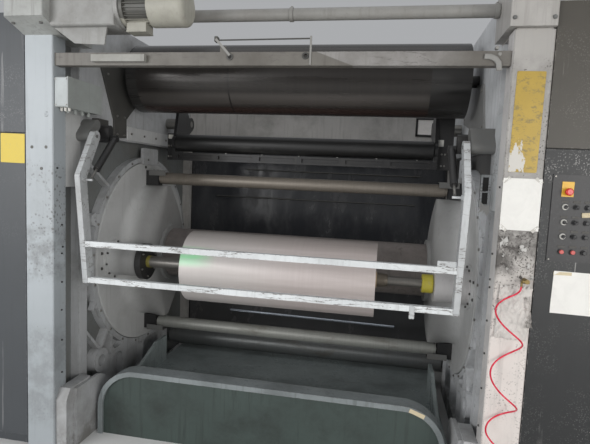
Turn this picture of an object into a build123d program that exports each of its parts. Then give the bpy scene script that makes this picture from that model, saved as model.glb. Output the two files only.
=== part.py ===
"""Turret winding station of a flexographic printing press.

Two side frames carry a turret with two winding stations, a web drum, a swinging
lay-on unit and a hinged front guard. Millimetres. X runs across the machine, Y runs
back from the operator, Z runs up from the floor.
"""
from build123d import *
import math
import os

# Overall frame
INNER_SPAN = 2877.0        # clear width between the two columns
COLUMN_WIDTH = 213.0
COLUMN_DEPTH = 130.0
COLUMN_TOP = 2905.0
FRAME_RISE = 295.0         # the side frames rise this far above the columns, behind the head boxes
REAR_POST_DEPTH = 130.0
FRAME_REAR = 2450.0        # rear face of the rear posts, from the column fronts
EDGE_CHAMFER = 6.0
OVERCUT = 1.0              # how far a cut runs past the metal
HEAD_FRONT = 180.0         # how far the head boxes stand forward of the columns
HEAD_DEPTH = 520.0
HEAD_HEIGHT = 395.0
HEAD_WIDTH = 277.0
HEAD_SLOPE = 65.0          # rise of the head's underside from column to front
HEAD_CORNER = 10.0         # rounding of the heads' upright edges
RIGHT_HEAD_FRONT = 26.0    # the right head is nearly flush with its column
RIGHT_HEAD_WIDTH = 248.0
HEAD_SEAM = 10.0           # dark seam between the right column and its head
HEAD_SEAM_DEPTH = 12.0

# Side frame
WEB_SET = 81.5             # column's inner face to the side frame's web plate
WEB_THICKNESS = 40.0
FLANGE_SET = 11.5          # and to the inner face of rings, pads and ribs
RECESS_WIDTH = 170.0       # open strip between column and casting
UPPER_PAD_BOTTOM = 2285.0
STRIP_WIDTH = 100.0        # front flange of the side casting
RIB_WIDTH = 24.0
RIB_STEP = 12.0            # how far the thin ribs lie below the flange
HIGH_RIB_Z = 2118.0        # the upper rib leaves the flange here
HIGH_RIB_END = (740.0, 1881.0)
LOW_RIB_Z = 790.0
BRACE_END = (700.0, 690.0)
CASTING_HALF = 612.0       # half length of the lower casting, from the turret axis forwards
CASTING_REAR_HALF = 480.0
CASTING_WALL = 29.0        # metal left round the pockets
POCKET_CORNER = 55.0
POCKET_ROUND = 0.45        # largest corner, as a share of a pocket's shorter side
POCKET_BOTTOM = 130.0
POCKET_TOP = 430.0
MIDDLE_POCKET_TOP = 395.0
HIGH_POCKET_BOTTOM = 480.0
HIGH_POCKET_TOP = 620.0
POCKET_SPLITS = (-420.0, -370.0, -52.0, -28.0, 240.0, 264.0)  # Y of the walls, from the turret axis
BOSS_Y = 583.0
BOSS_Z = 460.0
BOSS_DIAMETER = 200.0
BOSS_BORE = 95.0
BOSS_FOOT_Z = 197.0
HOUSING_FLANGE = 320.0     # outer bearing housing of the turret
HOUSING_LENGTH = 90.0
HOUSING_COVER = 15.0

# Turret
AXIS_Y = 1346.0
AXIS_Z = 1280.0
DISC_RADIUS = 837.0
DISC_PROUD = 7.0           # how far each disc stands inwards of the ring's face
DISC_THICKNESS = 60.0
DISC_GAP = 6.0             # running gap between disc and ring
RING_BAND = 42.0
RING_PAD_HALF = 155.0      # half height of the ring's pad at axis height
RING_PAD_REACH = 60.0
RING_SPLIT = 4.0           # split line across each pad
LUG_DIAMETER = 105.0
LUG_Y = 505.0
LUG_Z = 1635.0
LUG_HOLE = 14.0
FORK_Y = 475.0
FORK_Z = 952.0
TOP_PAD_LENGTH = 280.0     # guide pad over the disc's rim, at its top
TOP_PAD_HEIGHT = 155.0
TOP_PAD_Y = 1350.0
TOP_PAD_Z = 2170.0
TOP_PAD_THICKNESS = 17.0
TOP_PAD_CORNER = 14.0
DISC_RUNNING_GAP = 6.0     # between the disc face and what reaches over its rim
STATION_RADIUS = 575.0     # turret axis to each winding axis
IDLER_RADIUS = 695.0       # turret axis to each idler
HUB_DIAMETER = 262.0
HUB_LENGTH = 258.0
HUB_FLANGE_DIAMETER = 330.0
HUB_FLANGE_THICKNESS = 14.0
TRUNNION_DIAMETER = 160.0
TRUNNION_CLEARANCE = 1.0
TURRET_TUBE_DIAMETER = 450.0
TUBE_FLANGE_DIAMETER = 530.0
TUBE_FLANGE_THICKNESS = 28.0
CREST_RISE = 248.0         # height of the turret casting's raised body over the disc
CREST_HALF = 255.0         # half width of its crest at the axis
FLANK_HALF = 560.0         # half width of its foot at the axis
ARM_HALF = 42.0            # half width of the arm under each idler
ARM_DROP = 35.0            # the arm's end is this much lower than the crest
SHOULDER_SHARE = 0.57      # where the arm opens out, as a share of its length
SHOULDER_FOOT = 0.84       # the shoulder's foot and crest, as shares of those at the axis
SHOULDER_CREST = 0.62
SHOULDER_DROP = 0.2        # and its drop, as a share of the arm's
ARM_CREST = 0.75           # crest of the arm's end, as a share of its foot
IDLER_DIAMETER = 110.0
IDLER_END_GAP = 135.0      # disc face to the idler's shell
IDLER_SHAFT_DIAMETER = 36.0
IDLER_MOUNT_WIDTH = 84.0
IDLER_MOUNT_HEIGHT = 140.0
IDLER_MOUNT_DEPTH = 125.0
IDLER_MOUNT_FLOOR = 20.0   # solid end of the mount's bore
IDLER_END_PLAY = 2.0
IDLER_COLLAR = 18.0

# Winding shafts and roll
SHAFT_DIAMETER = 74.0
CHUCK_DIAMETER = 300.0     # plate in front of the left hub
CHUCK_LENGTH = 50.0
NUT_DIAMETER = 100.0       # on the left chuck plate
NUT_LENGTH = 30.0
COLLAR_DIAMETER = 141.0    # sliding collar at the right hub
COLLAR_LENGTH = 80.0
HUB_BORE_CLEARANCE = 1.0
HUB_BORE_DEPTH = 150.0
SHAFT_END_PLAY = 5.0
ROLL_DIAMETER = 570.0
ROLL_WIDTH = 1490.0
ROLL_OFFSET = 12.0         # roll centre, right of the mid plane
CORE_DIAMETER = 96.0

# Web drum above the turret
DRUM_Y = 1050.0
DRUM_Z = 2830.0
DRUM_DIAMETER = 560.0
DRUM_END_GAP = 90.0        # drum end to the casting's face
DRUM_SHAFT_REACH = 10.0    # how far the drum's shaft ends pass the side plates
DRUM_SHAFT_DIAMETER = 90.0
DRUM_HEAD_DIAMETER = 300.0  # end discs that carry the drum's shell
DRUM_HEAD_RECESS = 16.0
DRUM_SHELL = 14.0
DRUM_SPOKES = 6

# Lay-on unit
LAYON_PIVOT_Y = 1760.0
LAYON_PIVOT_Z = 2530.0
LAYON_ROLLER_Y = 1420.0
LAYON_ROLLER_Z = 2318.0
LAYON_ROLLER_DIAMETER = 160.0
LAYON_ARM_SET = 260.0      # ring's face to each arm's inner side
LAYON_ARM_THICKNESS = 28.0
LAYON_BEAM_BOTTOM = 2154.0
LAYON_BEAM_HEIGHT = 72.0
LAYON_BEAM_DEPTH = 80.0
LAYON_PIN_DIAMETER = 60.0
PIN_CLEARANCE = 1.0
LAYON_PIN_SHOULDER = 108.0
LAYON_ARM_WIDTH = 130.0
LAYON_PLATE_TOP = 2660.0   # the black end plates stand up beside the arms
LAYON_SIDE_GAP = 6.0       # roller end to arm
SHIELD_SET = 20.0          # the arms' cross plates stand this far behind the roller's axis
SHIELD_THICKNESS = 12.0
LEFT_SHIELD_REACH = 78.0   # how far each reaches outwards, and its top
LEFT_SHIELD_TOP = 2408.0
RIGHT_SHIELD_REACH = 132.0
BEAM_POCKETS = 6
POCKET_HEIGHT = 34.0
POCKET_DEPTH = 22.0
POCKET_BAR = 60.0          # metal left between two pockets

# Front guard
GUARD_MIDDLE = -23.0       # the guard hangs a little left of the mid plane
GUARD_ARM_SET = 157.0      # ring's face to each arm's middle, with the guard centred
GUARD_TUBE = 40.0          # width of the arms, and side of the square bars
GUARD_DEPTH = 80.0         # depth of the arms
GUARD_PIVOT_Y = 285.0
GUARD_PIVOT_Z = 2270.0
GUARD_KNEE_Y = 123.0
GUARD_KNEE_Z = 1978.0
GUARD_FOOT_Y = 218.0
GUARD_LOW_BAR_Z = 1230.0
GUARD_HIGH_BAR_Z = 1499.0
GUARD_PIN_DIAMETER = 24.0
HINGE_RISE = 90.0          # the hinge bracket climbs this far to its foot
HINGE_RUN = 60.0           # the casting's front to the bracket's foot
HINGE_WIDTH = 78.0
STRUT_SET = 65.0           # each arm's middle to its strut
STRUT_TOP_Y = 440.0
STRUT_TOP_Z = 2266.0
STRUT_FOOT_Y = 140.0
STRUT_FOOT_Z = 1955.0
STRUT_BODY_DIAMETER = 50.0
STRUT_ROD_DIAMETER = 18.0
STRUT_BODY_LENGTH = 330.0
STRUT_PIN = 20.0
STRUT_LUG = 60.0
STRUT_LUG_RISE = 70.0      # the lug climbs this far onto the casting's pad
STRUT_BORE_START = 40.0
STRUT_ROD_START = 150.0
STRUT_ROD_END = 20.0       # the rod stops this far from the guard's pin
GUARD_EAR_WIDTH = 36.0
GUARD_EAR_THICKNESS = 12.0
GUARD_EAR_PIN = 16.0

# Front and upper cross members
BEAM_Y = 20.0
BEAM_DROP = 111.0          # column top to beam top
BEAM_HEIGHT = 82.0
BEAM_DEPTH = 60.0
BEAM_WALL = 6.0
DUCT_START = 288.5         # left column to the cable duct on the front beam
DUCT_LENGTH = 374.0
DUCT_HEIGHT = 44.0
DUCT_DEPTH = 34.0
BEAM_HOLES = ((-215.0, 52.0), (262.0, 57.0))  # X, and height above the beam's bottom
BEAM_HOLE = 24.0
HOOK_X = -261.0
HOOK_WIDTH = 40.0
HOOK_HEIGHT = 34.0
TUBE_Y = 250.0
TUBE_RISE = 184.0          # column top to the tube's axis
TUBE_DIAMETER = 78.0
REAR_BEAM_BOTTOM = 2450.0
REAR_BEAM_HEIGHT = 270.0
REAR_BEAM_DEPTH = 90.0

# Rear guard
REAR_RAIL = 60.0
REAR_GUARD_TOP = 2300.0
REAR_GUARD_BOTTOM = 60.0
REAR_PANE = 8.0
REAR_BAYS = 4

# Lower front apron
APRON_Y = 300.0
APRON_TOP = 520.0
APRON_SIDE_GAP = 148.5     # column to apron
APRON_CORNER = 300.0
APRON_SHEET = 8.0
APRON_SET_BACK = 20.0      # rim front to sheet
RIM_DEPTH = 130.0
RIM_THICKNESS = 38.0
TRAY_FRONT_Z = 200.0
TRAY_REAR_Y = 2330.0
TRAY_REAR_Z = 120.0
TRAY_SHEET = 12.0
GUSSET_SET = 29.5          # rounded plate to the tray's gusset
GUSSET_THICKNESS = 30.0
GUSSET_TOP = 408.0
LOW_ROLLER_Y = 1960.0
LOW_ROLLER_Z = 250.0
LOW_ROLLER_DIAMETER = 190.0

# Cabinets beside the columns
CABINET_WIDTH = 448.0
CABINET_DEPTH = 700.0
CABINET_TOP = 3060.0
CABINET_SEAM = 2257.0
CABINET_DOOR = 22.0
CABINET_SET_BACK = 4.0
CABINET_SEAM_GAP = 6.0
CABINET_DOOR_GAP = 4.0
CABINET_PLINTH = 90.0
CABINET_PLINTH_SET_BACK = 30.0
PANEL_SET = 178.5          # column to the panel's middle
PANEL_CENTRE_Z = 1870.0
PANEL_WIDTH = 250.0
PANEL_HEIGHT = 490.0
PANEL_PLATE = 6.0
BUTTON_COLUMNS = (-52.0, 7.0, 66.0)   # from the panel's middle
BUTTON_ROWS = (65.0, -21.0, -101.0, -188.0)
BUTTON_RING = 32.0
BUTTON_RING_DEPTH = 7.0
BUTTON_CAP = 24.0
BUTTON_CAP_DEPTH = 11.0
STOP_LEFT = 46.0           # the stop button, left of the panel's middle and above it
STOP_RISE = 150.0
STOP_PLATE_WIDTH = 62.0
STOP_PLATE_HEIGHT = 84.0
STOP_HEAD = 42.0
STOP_DEPTH = 38.0

# Drive on the left head
MOTOR_Y = 0.0
MOTOR_RISE = 153.0         # column top to the motor's axis
GEARBOX_REACH = 469.5      # left head to the motor
MOTOR_LENGTH = 425.0
MOTOR_DIAMETER = 220.0
COWL_LENGTH = 240.0
COWL_DIAMETER = 232.0
COWL_ROUND = 34.0
MOTOR_CORE = 190.0
MOTOR_FINS = 28
FIN_THICKNESS = 4.0
TERMINAL_WIDTH = 130.0
TERMINAL_DEPTH = 96.0
TERMINAL_HEIGHT = 52.0
TERMINAL_LID = 8.0
TERMINAL_LIP = 2.0         # the lid's overhang
GEARBOX_HEIGHT = 260.0
GEARBOX_DEPTH = 220.0
GEARBOX_FLANGE = 250.0
GEARBOX_FLANGE_THICKNESS = 26.0
GEARBOX_EDGE = 16.0
GEARBOX_LINK_DEPTH = 12.0
LINK_RUN = 145.0           # the plate below the gearbox: run of its slanted left edge
LINK_DROP = 75.0           # and how far it hangs below the column's top, left and right
LINK_RIGHT_DROP = 85.0
LINK_RIGHT_FOOT = 115.0    # its right edge, left of the motor's flange, at foot and top
LINK_RIGHT_TOP = 95.0

# Junction box on the left column
JUNCTION_DEPTH = 94.0
JUNCTION_FRONT = 20.0
JUNCTION_REAR = 400.0
JUNCTION_DROP = 75.0       # beam bottom to box top
JUNCTION_HEIGHT = 197.0
JUNCTION_COVER = 8.0
JUNCTION_GLANDS = 4
GLAND_DIAMETER = 24.0
GLAND_LENGTH = 30.0

# Front feet
FOOT_FRONT = 20.0
FOOT_WIDTH = 85.0
FOOT_SHOULDER = 380.0
FOOT_TOP = 455.0
FOOT_SLOPE = 45.0
CHEEK_FRONT = 100.0        # rounded plate beside each foot
CHEEK_TOP = 440.0
CHEEK_BEND = 350.0
CHEEK_REAR = 620.0
CHEEK_THICKNESS = 24.0

# Spiral air hose hung on the right column
COIL_DIAMETER = 166.0
HOSE_SET = 136.5           # the column's outer side to the hose's axis
HOSE_Y = -92.0
HOSE_TOP = 1500.0
HOSE_BOTTOM = 400.0
FITTING_SET = 51.5         # and to its fitting
FITTING_Z = 1478.0
FITTING_REACH = 62.0
FITTING_DIAMETER = 26.0
BARB_DIAMETER = 12.0
NOZZLE_LENGTH = 130.0
NOZZLE_DIAMETER = 24.0
NOZZLE_TIP = 78.0          # length of the thin pipe below the grip

# Derived places
COLUMN_INNER = INNER_SPAN / 2
COLUMN_OUTER = COLUMN_INNER + COLUMN_WIDTH
FRAME_TOP = COLUMN_TOP + FRAME_RISE
WEB_INNER = COLUMN_INNER + WEB_SET
WEB_OUTER = WEB_INNER + WEB_THICKNESS
FLANGE_FACE = COLUMN_INNER + FLANGE_SET
DISC_FACE = FLANGE_FACE - DISC_PROUD
HUB_END = DISC_FACE - HUB_LENGTH
CREST_FACE = DISC_FACE - CREST_RISE
IDLER_END = DISC_FACE - IDLER_END_GAP
LAYON_ARM_INNER = FLANGE_FACE - LAYON_ARM_SET
GUARD_ARM_X = FLANGE_FACE - GUARD_ARM_SET
STRUT_X = GUARD_ARM_X - STRUT_SET
APRON_HALF_WIDTH = COLUMN_INNER - APRON_SIDE_GAP
DUCT_LEFT = DUCT_START - COLUMN_INNER
DUCT_RIGHT = DUCT_LEFT + DUCT_LENGTH
HOSE_X = COLUMN_OUTER - HOSE_SET
FITTING_X = COLUMN_OUTER - FITTING_SET
PANEL_CENTRE_X = COLUMN_OUTER + PANEL_SET
STOP_X = PANEL_CENTRE_X - STOP_LEFT
STOP_Z = PANEL_CENTRE_Z + STOP_RISE
BEAM_BOTTOM = COLUMN_TOP - BEAM_DROP - BEAM_HEIGHT
JUNCTION_TOP = BEAM_BOTTOM - JUNCTION_DROP
JUNCTION_BOTTOM = JUNCTION_TOP - JUNCTION_HEIGHT
DISC_BACK = DISC_FACE + DISC_THICKNESS
RING_INNER = DISC_RADIUS + DISC_GAP
DRUM_HALF_LENGTH = FLANGE_FACE - DRUM_END_GAP
RING_OUTER = RING_INNER + RING_BAND
CASTING_FRONT = COLUMN_DEPTH + RECESS_WIDTH
REAR_POST_FRONT = FRAME_REAR - REAR_POST_DEPTH
HEAD_REAR = HEAD_DEPTH - HEAD_FRONT
TRUNNION_BORE = TRUNNION_DIAMETER + 2 * TRUNNION_CLEARANCE
DRUM_BORE = DRUM_SHAFT_DIAMETER + 2 * TRUNNION_CLEARANCE
ROLLER_BORE = IDLER_SHAFT_DIAMETER + 2 * PIN_CLEARANCE
HEAD_INNER = COLUMN_OUTER - HEAD_WIDTH
MOTOR_LEFT = GEARBOX_REACH - HEAD_INNER
MOTOR_RIGHT = MOTOR_LEFT + MOTOR_LENGTH
RIGHT_HEAD_INNER = COLUMN_OUTER - RIGHT_HEAD_WIDTH
TUBE_END = CREST_FACE - TUBE_FLANGE_THICKNESS
ARM_END = IDLER_RADIUS - IDLER_MOUNT_HEIGHT / 2 - PIN_CLEARANCE
PAD_FACE = DISC_FACE - DISC_RUNNING_GAP
CHEEK_INNER = COLUMN_INNER - FOOT_WIDTH - CHEEK_THICKNESS
GUSSET_X = CHEEK_INNER - GUSSET_SET
APRON_FRONT = APRON_Y + APRON_SET_BACK
DOOR_FRONT = CABINET_SET_BACK
DOOR_BACK = CABINET_SET_BACK + CABINET_DOOR
Y_MIDDLE = (FRAME_REAR - HEAD_FRONT) / 2
TUBE_Z = COLUMN_TOP + TUBE_RISE
MOTOR_Z = COLUMN_TOP + MOTOR_RISE


def block(x0, x1, y0, y1, z0, z1):
    """A box between two opposite corners."""
    middle = Pos((x0 + x1) / 2, (y0 + y1) / 2, (z0 + z1) / 2)
    return middle * Box(abs(x1 - x0), abs(y1 - y0), abs(z1 - z0))


def bar_x(x0, x1, y, z, diameter):
    """A round bar along X."""
    return Pos((x0 + x1) / 2, y, z) * Rot(0, 90, 0) * Cylinder(diameter / 2, abs(x1 - x0))


def hole_x(x0, x1, y, z, diameter):
    """The cutter for a hole along X between two faces, running a little past both."""
    return bar_x(x0 - OVERCUT, x1 + OVERCUT, y, z, diameter)


def bar_y(x, y0, y1, z, diameter):
    """A round bar along Y."""
    return Pos(x, (y0 + y1) / 2, z) * Rot(90, 0, 0) * Cylinder(diameter / 2, abs(y1 - y0))


def bar_z(x, y, z0, z1, diameter):
    """An upright round bar."""
    return Pos(x, y, (z0 + z1) / 2) * Cylinder(diameter / 2, abs(z1 - z0))


def plate_x(points, x0, x1):
    """A flat plate whose outline is given in Y and Z, between two X planes."""
    outline = make_face(Polyline(*points, close=True))
    return extrude(Plane.YZ.offset(x0) * outline, x1 - x0)


def link_x(y0, z0, y1, z1, width, x0, x1):
    """A flat link with round ends between two centres in a YZ plane."""
    length = math.hypot(y1 - y0, z1 - z0)
    angle = math.degrees(math.atan2(z1 - z0, y1 - y0))
    middle = Plane.YZ.offset(x0) * Pos((y0 + y1) / 2, (z0 + z1) / 2) * Rot(0, 0, angle)
    return extrude(middle * SlotCenterToCenter(length, width), x1 - x0)


def rib_x(y0, z0, y1, z1, width, x0, x1):
    """A straight rib between two points in a YZ plane."""
    length = math.hypot(y1 - y0, z1 - z0)
    angle = math.degrees(math.atan2(z1 - z0, y1 - y0))
    return Pos((x0 + x1) / 2, (y0 + y1) / 2, (z0 + z1) / 2) * Rot(angle, 0, 0) * Box(x1 - x0, length, width)


def tube_between(x, y0, z0, y1, z1, width, depth):
    """A rectangular bar in a YZ plane between two points, its width along X."""
    return rib_x(y0, z0, y1, z1, depth, x - width / 2, x + width / 2)


def round_between(x, y0, z0, y1, z1, diameter):
    """A round bar in a YZ plane between two points."""
    length = math.hypot(y1 - y0, z1 - z0)
    angle = math.degrees(math.atan2(z1 - z0, y1 - y0))
    return Pos(x, (y0 + y1) / 2, (z0 + z1) / 2) * Rot(angle - 90, 0, 0) * Cylinder(diameter / 2, length)


def turned_x(profile, y, z):
    """A turned piece about an X axis, from an outline of distance along X and radius."""
    outline = make_face(Polyline(*profile, close=True))
    return Pos(0, y, z) * revolve(outline, Axis.X)


def turret_point(radius, degrees):
    """Y and Z of a point on the turret, measured from the operator's side upwards."""
    turn = math.radians(degrees)
    return AXIS_Y - radius * math.cos(turn), AXIS_Z + radius * math.sin(turn)


# Side frames

def column():
    body = block(COLUMN_INNER, COLUMN_OUTER, 0, COLUMN_DEPTH, 0, COLUMN_TOP)
    return chamfer(body.edges().filter_by(Axis.Z).group_by(Axis.Y)[0], EDGE_CHAMFER)


def rear_post():
    body = block(COLUMN_INNER, COLUMN_OUTER, REAR_POST_FRONT, FRAME_REAR, 0, FRAME_TOP)
    return chamfer(body.edges().filter_by(Axis.Z).group_by(Axis.Y)[-1], EDGE_CHAMFER)


def frame_outline(front, bottom):
    """The side frame's outline: it steps back under the head box."""
    return [
        (front, bottom),
        (REAR_POST_FRONT, bottom),
        (REAR_POST_FRONT, FRAME_TOP),
        (HEAD_REAR, FRAME_TOP),
        (HEAD_REAR, COLUMN_TOP),
        (front, COLUMN_TOP),
    ]


def side_plate():
    web = plate_x(frame_outline(COLUMN_DEPTH, 0), WEB_INNER, WEB_OUTER)
    web -= hole_x(WEB_INNER, WEB_OUTER, AXIS_Y, AXIS_Z, TRUNNION_BORE)
    return web - hole_x(WEB_INNER, WEB_OUTER, DRUM_Y, DRUM_Z, DRUM_BORE)


def top_pad(x0, x1):
    """A slab of the guide pad over the disc's rim."""
    half_length = TOP_PAD_LENGTH / 2
    half_height = TOP_PAD_HEIGHT / 2
    pad = block(x0, x1, TOP_PAD_Y - half_length, TOP_PAD_Y + half_length,
                TOP_PAD_Z - half_height, TOP_PAD_Z + half_height)
    return fillet(pad.edges().filter_by(Axis.X), TOP_PAD_CORNER)


def disc_ring():
    """The casting's ring round the disc, with a split pad, a drilled lug, a fork and a guide pad."""
    ring = bar_x(FLANGE_FACE, WEB_INNER, AXIS_Y, AXIS_Z, 2 * RING_OUTER)
    pad_front = AXIS_Y - RING_OUTER - RING_PAD_REACH
    ring += block(FLANGE_FACE, WEB_INNER, pad_front, AXIS_Y - RING_INNER,
                  AXIS_Z - RING_PAD_HALF, AXIS_Z + RING_PAD_HALF)
    lug_back = FLANGE_FACE + WEB_THICKNESS
    ring += link_x(LUG_Y, LUG_Z, LUG_Y + LUG_DIAMETER, LUG_Z - LUG_DIAMETER / 3, LUG_DIAMETER,
                   FLANGE_FACE, lug_back)
    for shift in (-LUG_HOLE, LUG_HOLE):
        ring -= hole_x(FLANGE_FACE, WEB_INNER, LUG_Y + shift / 2, LUG_Z - shift, LUG_HOLE)
    tine = RIB_WIDTH
    for reach in (0, 2 * tine):
        ring += rib_x(FORK_Y + reach, FORK_Z - 2 * tine, FORK_Y + reach + 2 * tine, FORK_Z + 2 * tine,
                      tine, FLANGE_FACE, lug_back)
    ring += rib_x(FORK_Y + tine, FORK_Z + tine, AXIS_Y - RING_INNER + tine, AXIS_Z - RING_PAD_HALF,
                  tine, FLANGE_FACE, lug_back)
    ring -= hole_x(FLANGE_FACE, WEB_INNER, AXIS_Y, AXIS_Z, 2 * RING_INNER)
    ring -= block(FLANGE_FACE - OVERCUT, FLANGE_FACE + RIB_STEP, pad_front - OVERCUT, AXIS_Y,
                  AXIS_Z - RING_SPLIT / 2, AXIS_Z + RING_SPLIT / 2)
    foot = top_pad(PAD_FACE, FLANGE_FACE) - hole_x(PAD_FACE, FLANGE_FACE, AXIS_Y, AXIS_Z, 2 * RING_INNER)
    return ring + foot + top_pad(PAD_FACE - TOP_PAD_THICKNESS, PAD_FACE)


def upper_pad():
    pad = plate_x(frame_outline(CASTING_FRONT, UPPER_PAD_BOTTOM), FLANGE_FACE, WEB_INNER)
    return pad - hole_x(FLANGE_FACE, WEB_INNER, DRUM_Y, DRUM_Z, DRUM_BORE)


def casting_ribs():
    """The casting's front flange and the thin ribs that run from it to the ring."""
    face = FLANGE_FACE + RIB_STEP
    strip_rear = CASTING_FRONT + STRIP_WIDTH
    body = block(FLANGE_FACE, WEB_INNER, CASTING_FRONT, strip_rear, 0, UPPER_PAD_BOTTOM)
    body += rib_x(strip_rear - RIB_WIDTH, HIGH_RIB_Z, *HIGH_RIB_END, RIB_WIDTH, face, WEB_INNER)
    body += rib_x(strip_rear - RIB_WIDTH, LOW_RIB_Z, BOSS_Y, BOSS_Z + BOSS_DIAMETER / 2, RIB_WIDTH,
                  face, WEB_INNER)
    body -= hole_x(face, WEB_INNER, AXIS_Y, AXIS_Z, 2 * RING_OUTER)
    return body - hole_x(face, WEB_INNER, BOSS_Y, BOSS_Z, BOSS_DIAMETER)


def lower_casting():
    """The foot of the side casting: a ribbed pedestal under the ring, with a bearing boss."""
    front = AXIS_Y - CASTING_HALF
    rear = AXIS_Y + CASTING_REAR_HALF
    body = block(FLANGE_FACE, WEB_INNER, front, rear, 0, AXIS_Z - RING_OUTER / 2)
    first = front + CASTING_WALL
    splits = [AXIS_Y + split for split in POCKET_SPLITS]
    pockets = (
        (first, splits[0], HIGH_POCKET_BOTTOM, HIGH_POCKET_TOP),
        (first, splits[0], POCKET_BOTTOM, POCKET_TOP),
        (splits[1], splits[2], POCKET_BOTTOM, MIDDLE_POCKET_TOP),
        (splits[3], splits[4], POCKET_BOTTOM, MIDDLE_POCKET_TOP),
        (splits[5], rear - CASTING_WALL, POCKET_BOTTOM, POCKET_TOP),
    )
    floor_x = WEB_INNER - RIB_STEP
    for y0, y1, z0, z1 in pockets:
        corner = min(POCKET_CORNER, POCKET_ROUND * (y1 - y0), POCKET_ROUND * (z1 - z0))
        pocket = block(FLANGE_FACE - OVERCUT, floor_x, y0, y1, z0, z1)
        body -= fillet(pocket.edges().filter_by(Axis.X), corner)
    body += bar_x(FLANGE_FACE - RIB_STEP, WEB_INNER, BOSS_Y, BOSS_Z, BOSS_DIAMETER)
    body += rib_x(BOSS_Y, BOSS_Z + BOSS_DIAMETER / 2 - RIB_WIDTH, *BRACE_END, RIB_WIDTH,
                  FLANGE_FACE, WEB_INNER)
    body += block(FLANGE_FACE, WEB_INNER, BOSS_Y, front + RIB_WIDTH, BOSS_FOOT_Z, BOSS_Z)
    body -= hole_x(FLANGE_FACE - RIB_STEP, WEB_INNER, BOSS_Y, BOSS_Z, BOSS_BORE)
    return body - hole_x(FLANGE_FACE, WEB_INNER, AXIS_Y, AXIS_Z, 2 * RING_OUTER)


def bearing_housing():
    """The turret's outer bearing: a stepped flange with a closed cover."""
    cover = WEB_OUTER + HOUSING_LENGTH
    housing = bar_x(WEB_OUTER, WEB_OUTER + HOUSING_LENGTH / 3, AXIS_Y, AXIS_Z, HOUSING_FLANGE)
    housing += bar_x(WEB_OUTER, cover, AXIS_Y, AXIS_Z, (HOUSING_FLANGE + TRUNNION_BORE) / 2)
    return housing - bar_x(WEB_OUTER - OVERCUT, cover - HOUSING_COVER, AXIS_Y, AXIS_Z, TRUNNION_BORE)


def left_head():
    outline = [
        (-HEAD_FRONT, COLUMN_TOP + HEAD_SLOPE),
        (0, COLUMN_TOP),
        (HEAD_REAR, COLUMN_TOP),
        (HEAD_REAR, COLUMN_TOP + HEAD_HEIGHT),
        (-HEAD_FRONT, COLUMN_TOP + HEAD_HEIGHT),
    ]
    body = plate_x(outline, HEAD_INNER, COLUMN_OUTER)
    body = fillet(body.edges().filter_by(Axis.Z).group_by(Axis.Y)[0], HEAD_CORNER)
    return mirrored(body)


def right_head():
    body = block(RIGHT_HEAD_INNER, COLUMN_OUTER, -RIGHT_HEAD_FRONT, HEAD_REAR,
                 COLUMN_TOP + HEAD_SEAM, COLUMN_TOP + HEAD_HEIGHT)
    body = fillet(body.edges().filter_by(Axis.Z).group_by(Axis.Y)[0], HEAD_CORNER)
    neck = block(COLUMN_INNER + HEAD_SEAM_DEPTH, COLUMN_OUTER - HEAD_SEAM_DEPTH, HEAD_SEAM_DEPTH, HEAD_REAR,
                 COLUMN_TOP, COLUMN_TOP + HEAD_SEAM)
    return body + neck


def foot_block():
    """A front foot with a sloped shoulder, and the rounded plate beside it."""
    outline = [
        (FOOT_FRONT, 0),
        (FOOT_FRONT, FOOT_SHOULDER),
        (FOOT_FRONT + FOOT_SLOPE, FOOT_TOP),
        (CASTING_FRONT, FOOT_TOP),
        (CASTING_FRONT, 0),
    ]
    foot = plate_x(outline, COLUMN_INNER - FOOT_WIDTH, COLUMN_INNER)
    top = Line((CHEEK_FRONT, CHEEK_TOP), (CHEEK_BEND, CHEEK_TOP))
    bend = EllipticalCenterArc((CHEEK_BEND, 0), CHEEK_REAR - CHEEK_BEND, CHEEK_TOP, arc_size=90)
    floor = Line((CHEEK_REAR, 0), (CHEEK_FRONT, 0))
    front = Line((CHEEK_FRONT, 0), (CHEEK_FRONT, CHEEK_TOP))
    cheek = extrude(Plane.YZ.offset(CHEEK_INNER) * make_face([front, top, bend, floor]), CHEEK_THICKNESS)
    return foot + cheek


# Turret

def casting_section(height, foot, crest, reach):
    """One level of the turret casting: an S-curved flank on each side of a flat crest."""
    face = -DISC_FACE
    top = face + reach
    left = Spline((-foot, face), (-crest, top), tangents=[(1, 0), (1, 0)])
    crown = Line((-crest, top), (crest, top))
    right = Spline((crest, top), (foot, face), tangents=[(1, 0), (1, 0)])
    base = Line((foot, face), (-foot, face))
    level = Plane(origin=(0, AXIS_Y, AXIS_Z + height), x_dir=(0, 1, 0), z_dir=(0, 0, 1))
    return level * make_face([left, crown, right, base])


def turret_body():
    """The raised casting between the idlers, widest round the turret tube."""
    reach = DISC_FACE - CREST_FACE
    shoulder = SHOULDER_SHARE * ARM_END
    arm = (ARM_HALF, ARM_CREST * ARM_HALF, reach - ARM_DROP)
    middle = (SHOULDER_FOOT * FLANK_HALF, SHOULDER_CREST * CREST_HALF, reach - SHOULDER_DROP * ARM_DROP)
    levels = (
        (-ARM_END, *arm),
        (-shoulder, *middle),
        (0, FLANK_HALF, CREST_HALF, reach),
        (shoulder, *middle),
        (ARM_END, *arm),
    )
    sections = [casting_section(height, foot, crest, rise) for height, foot, crest, rise in levels]
    return loft(sections)


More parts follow.
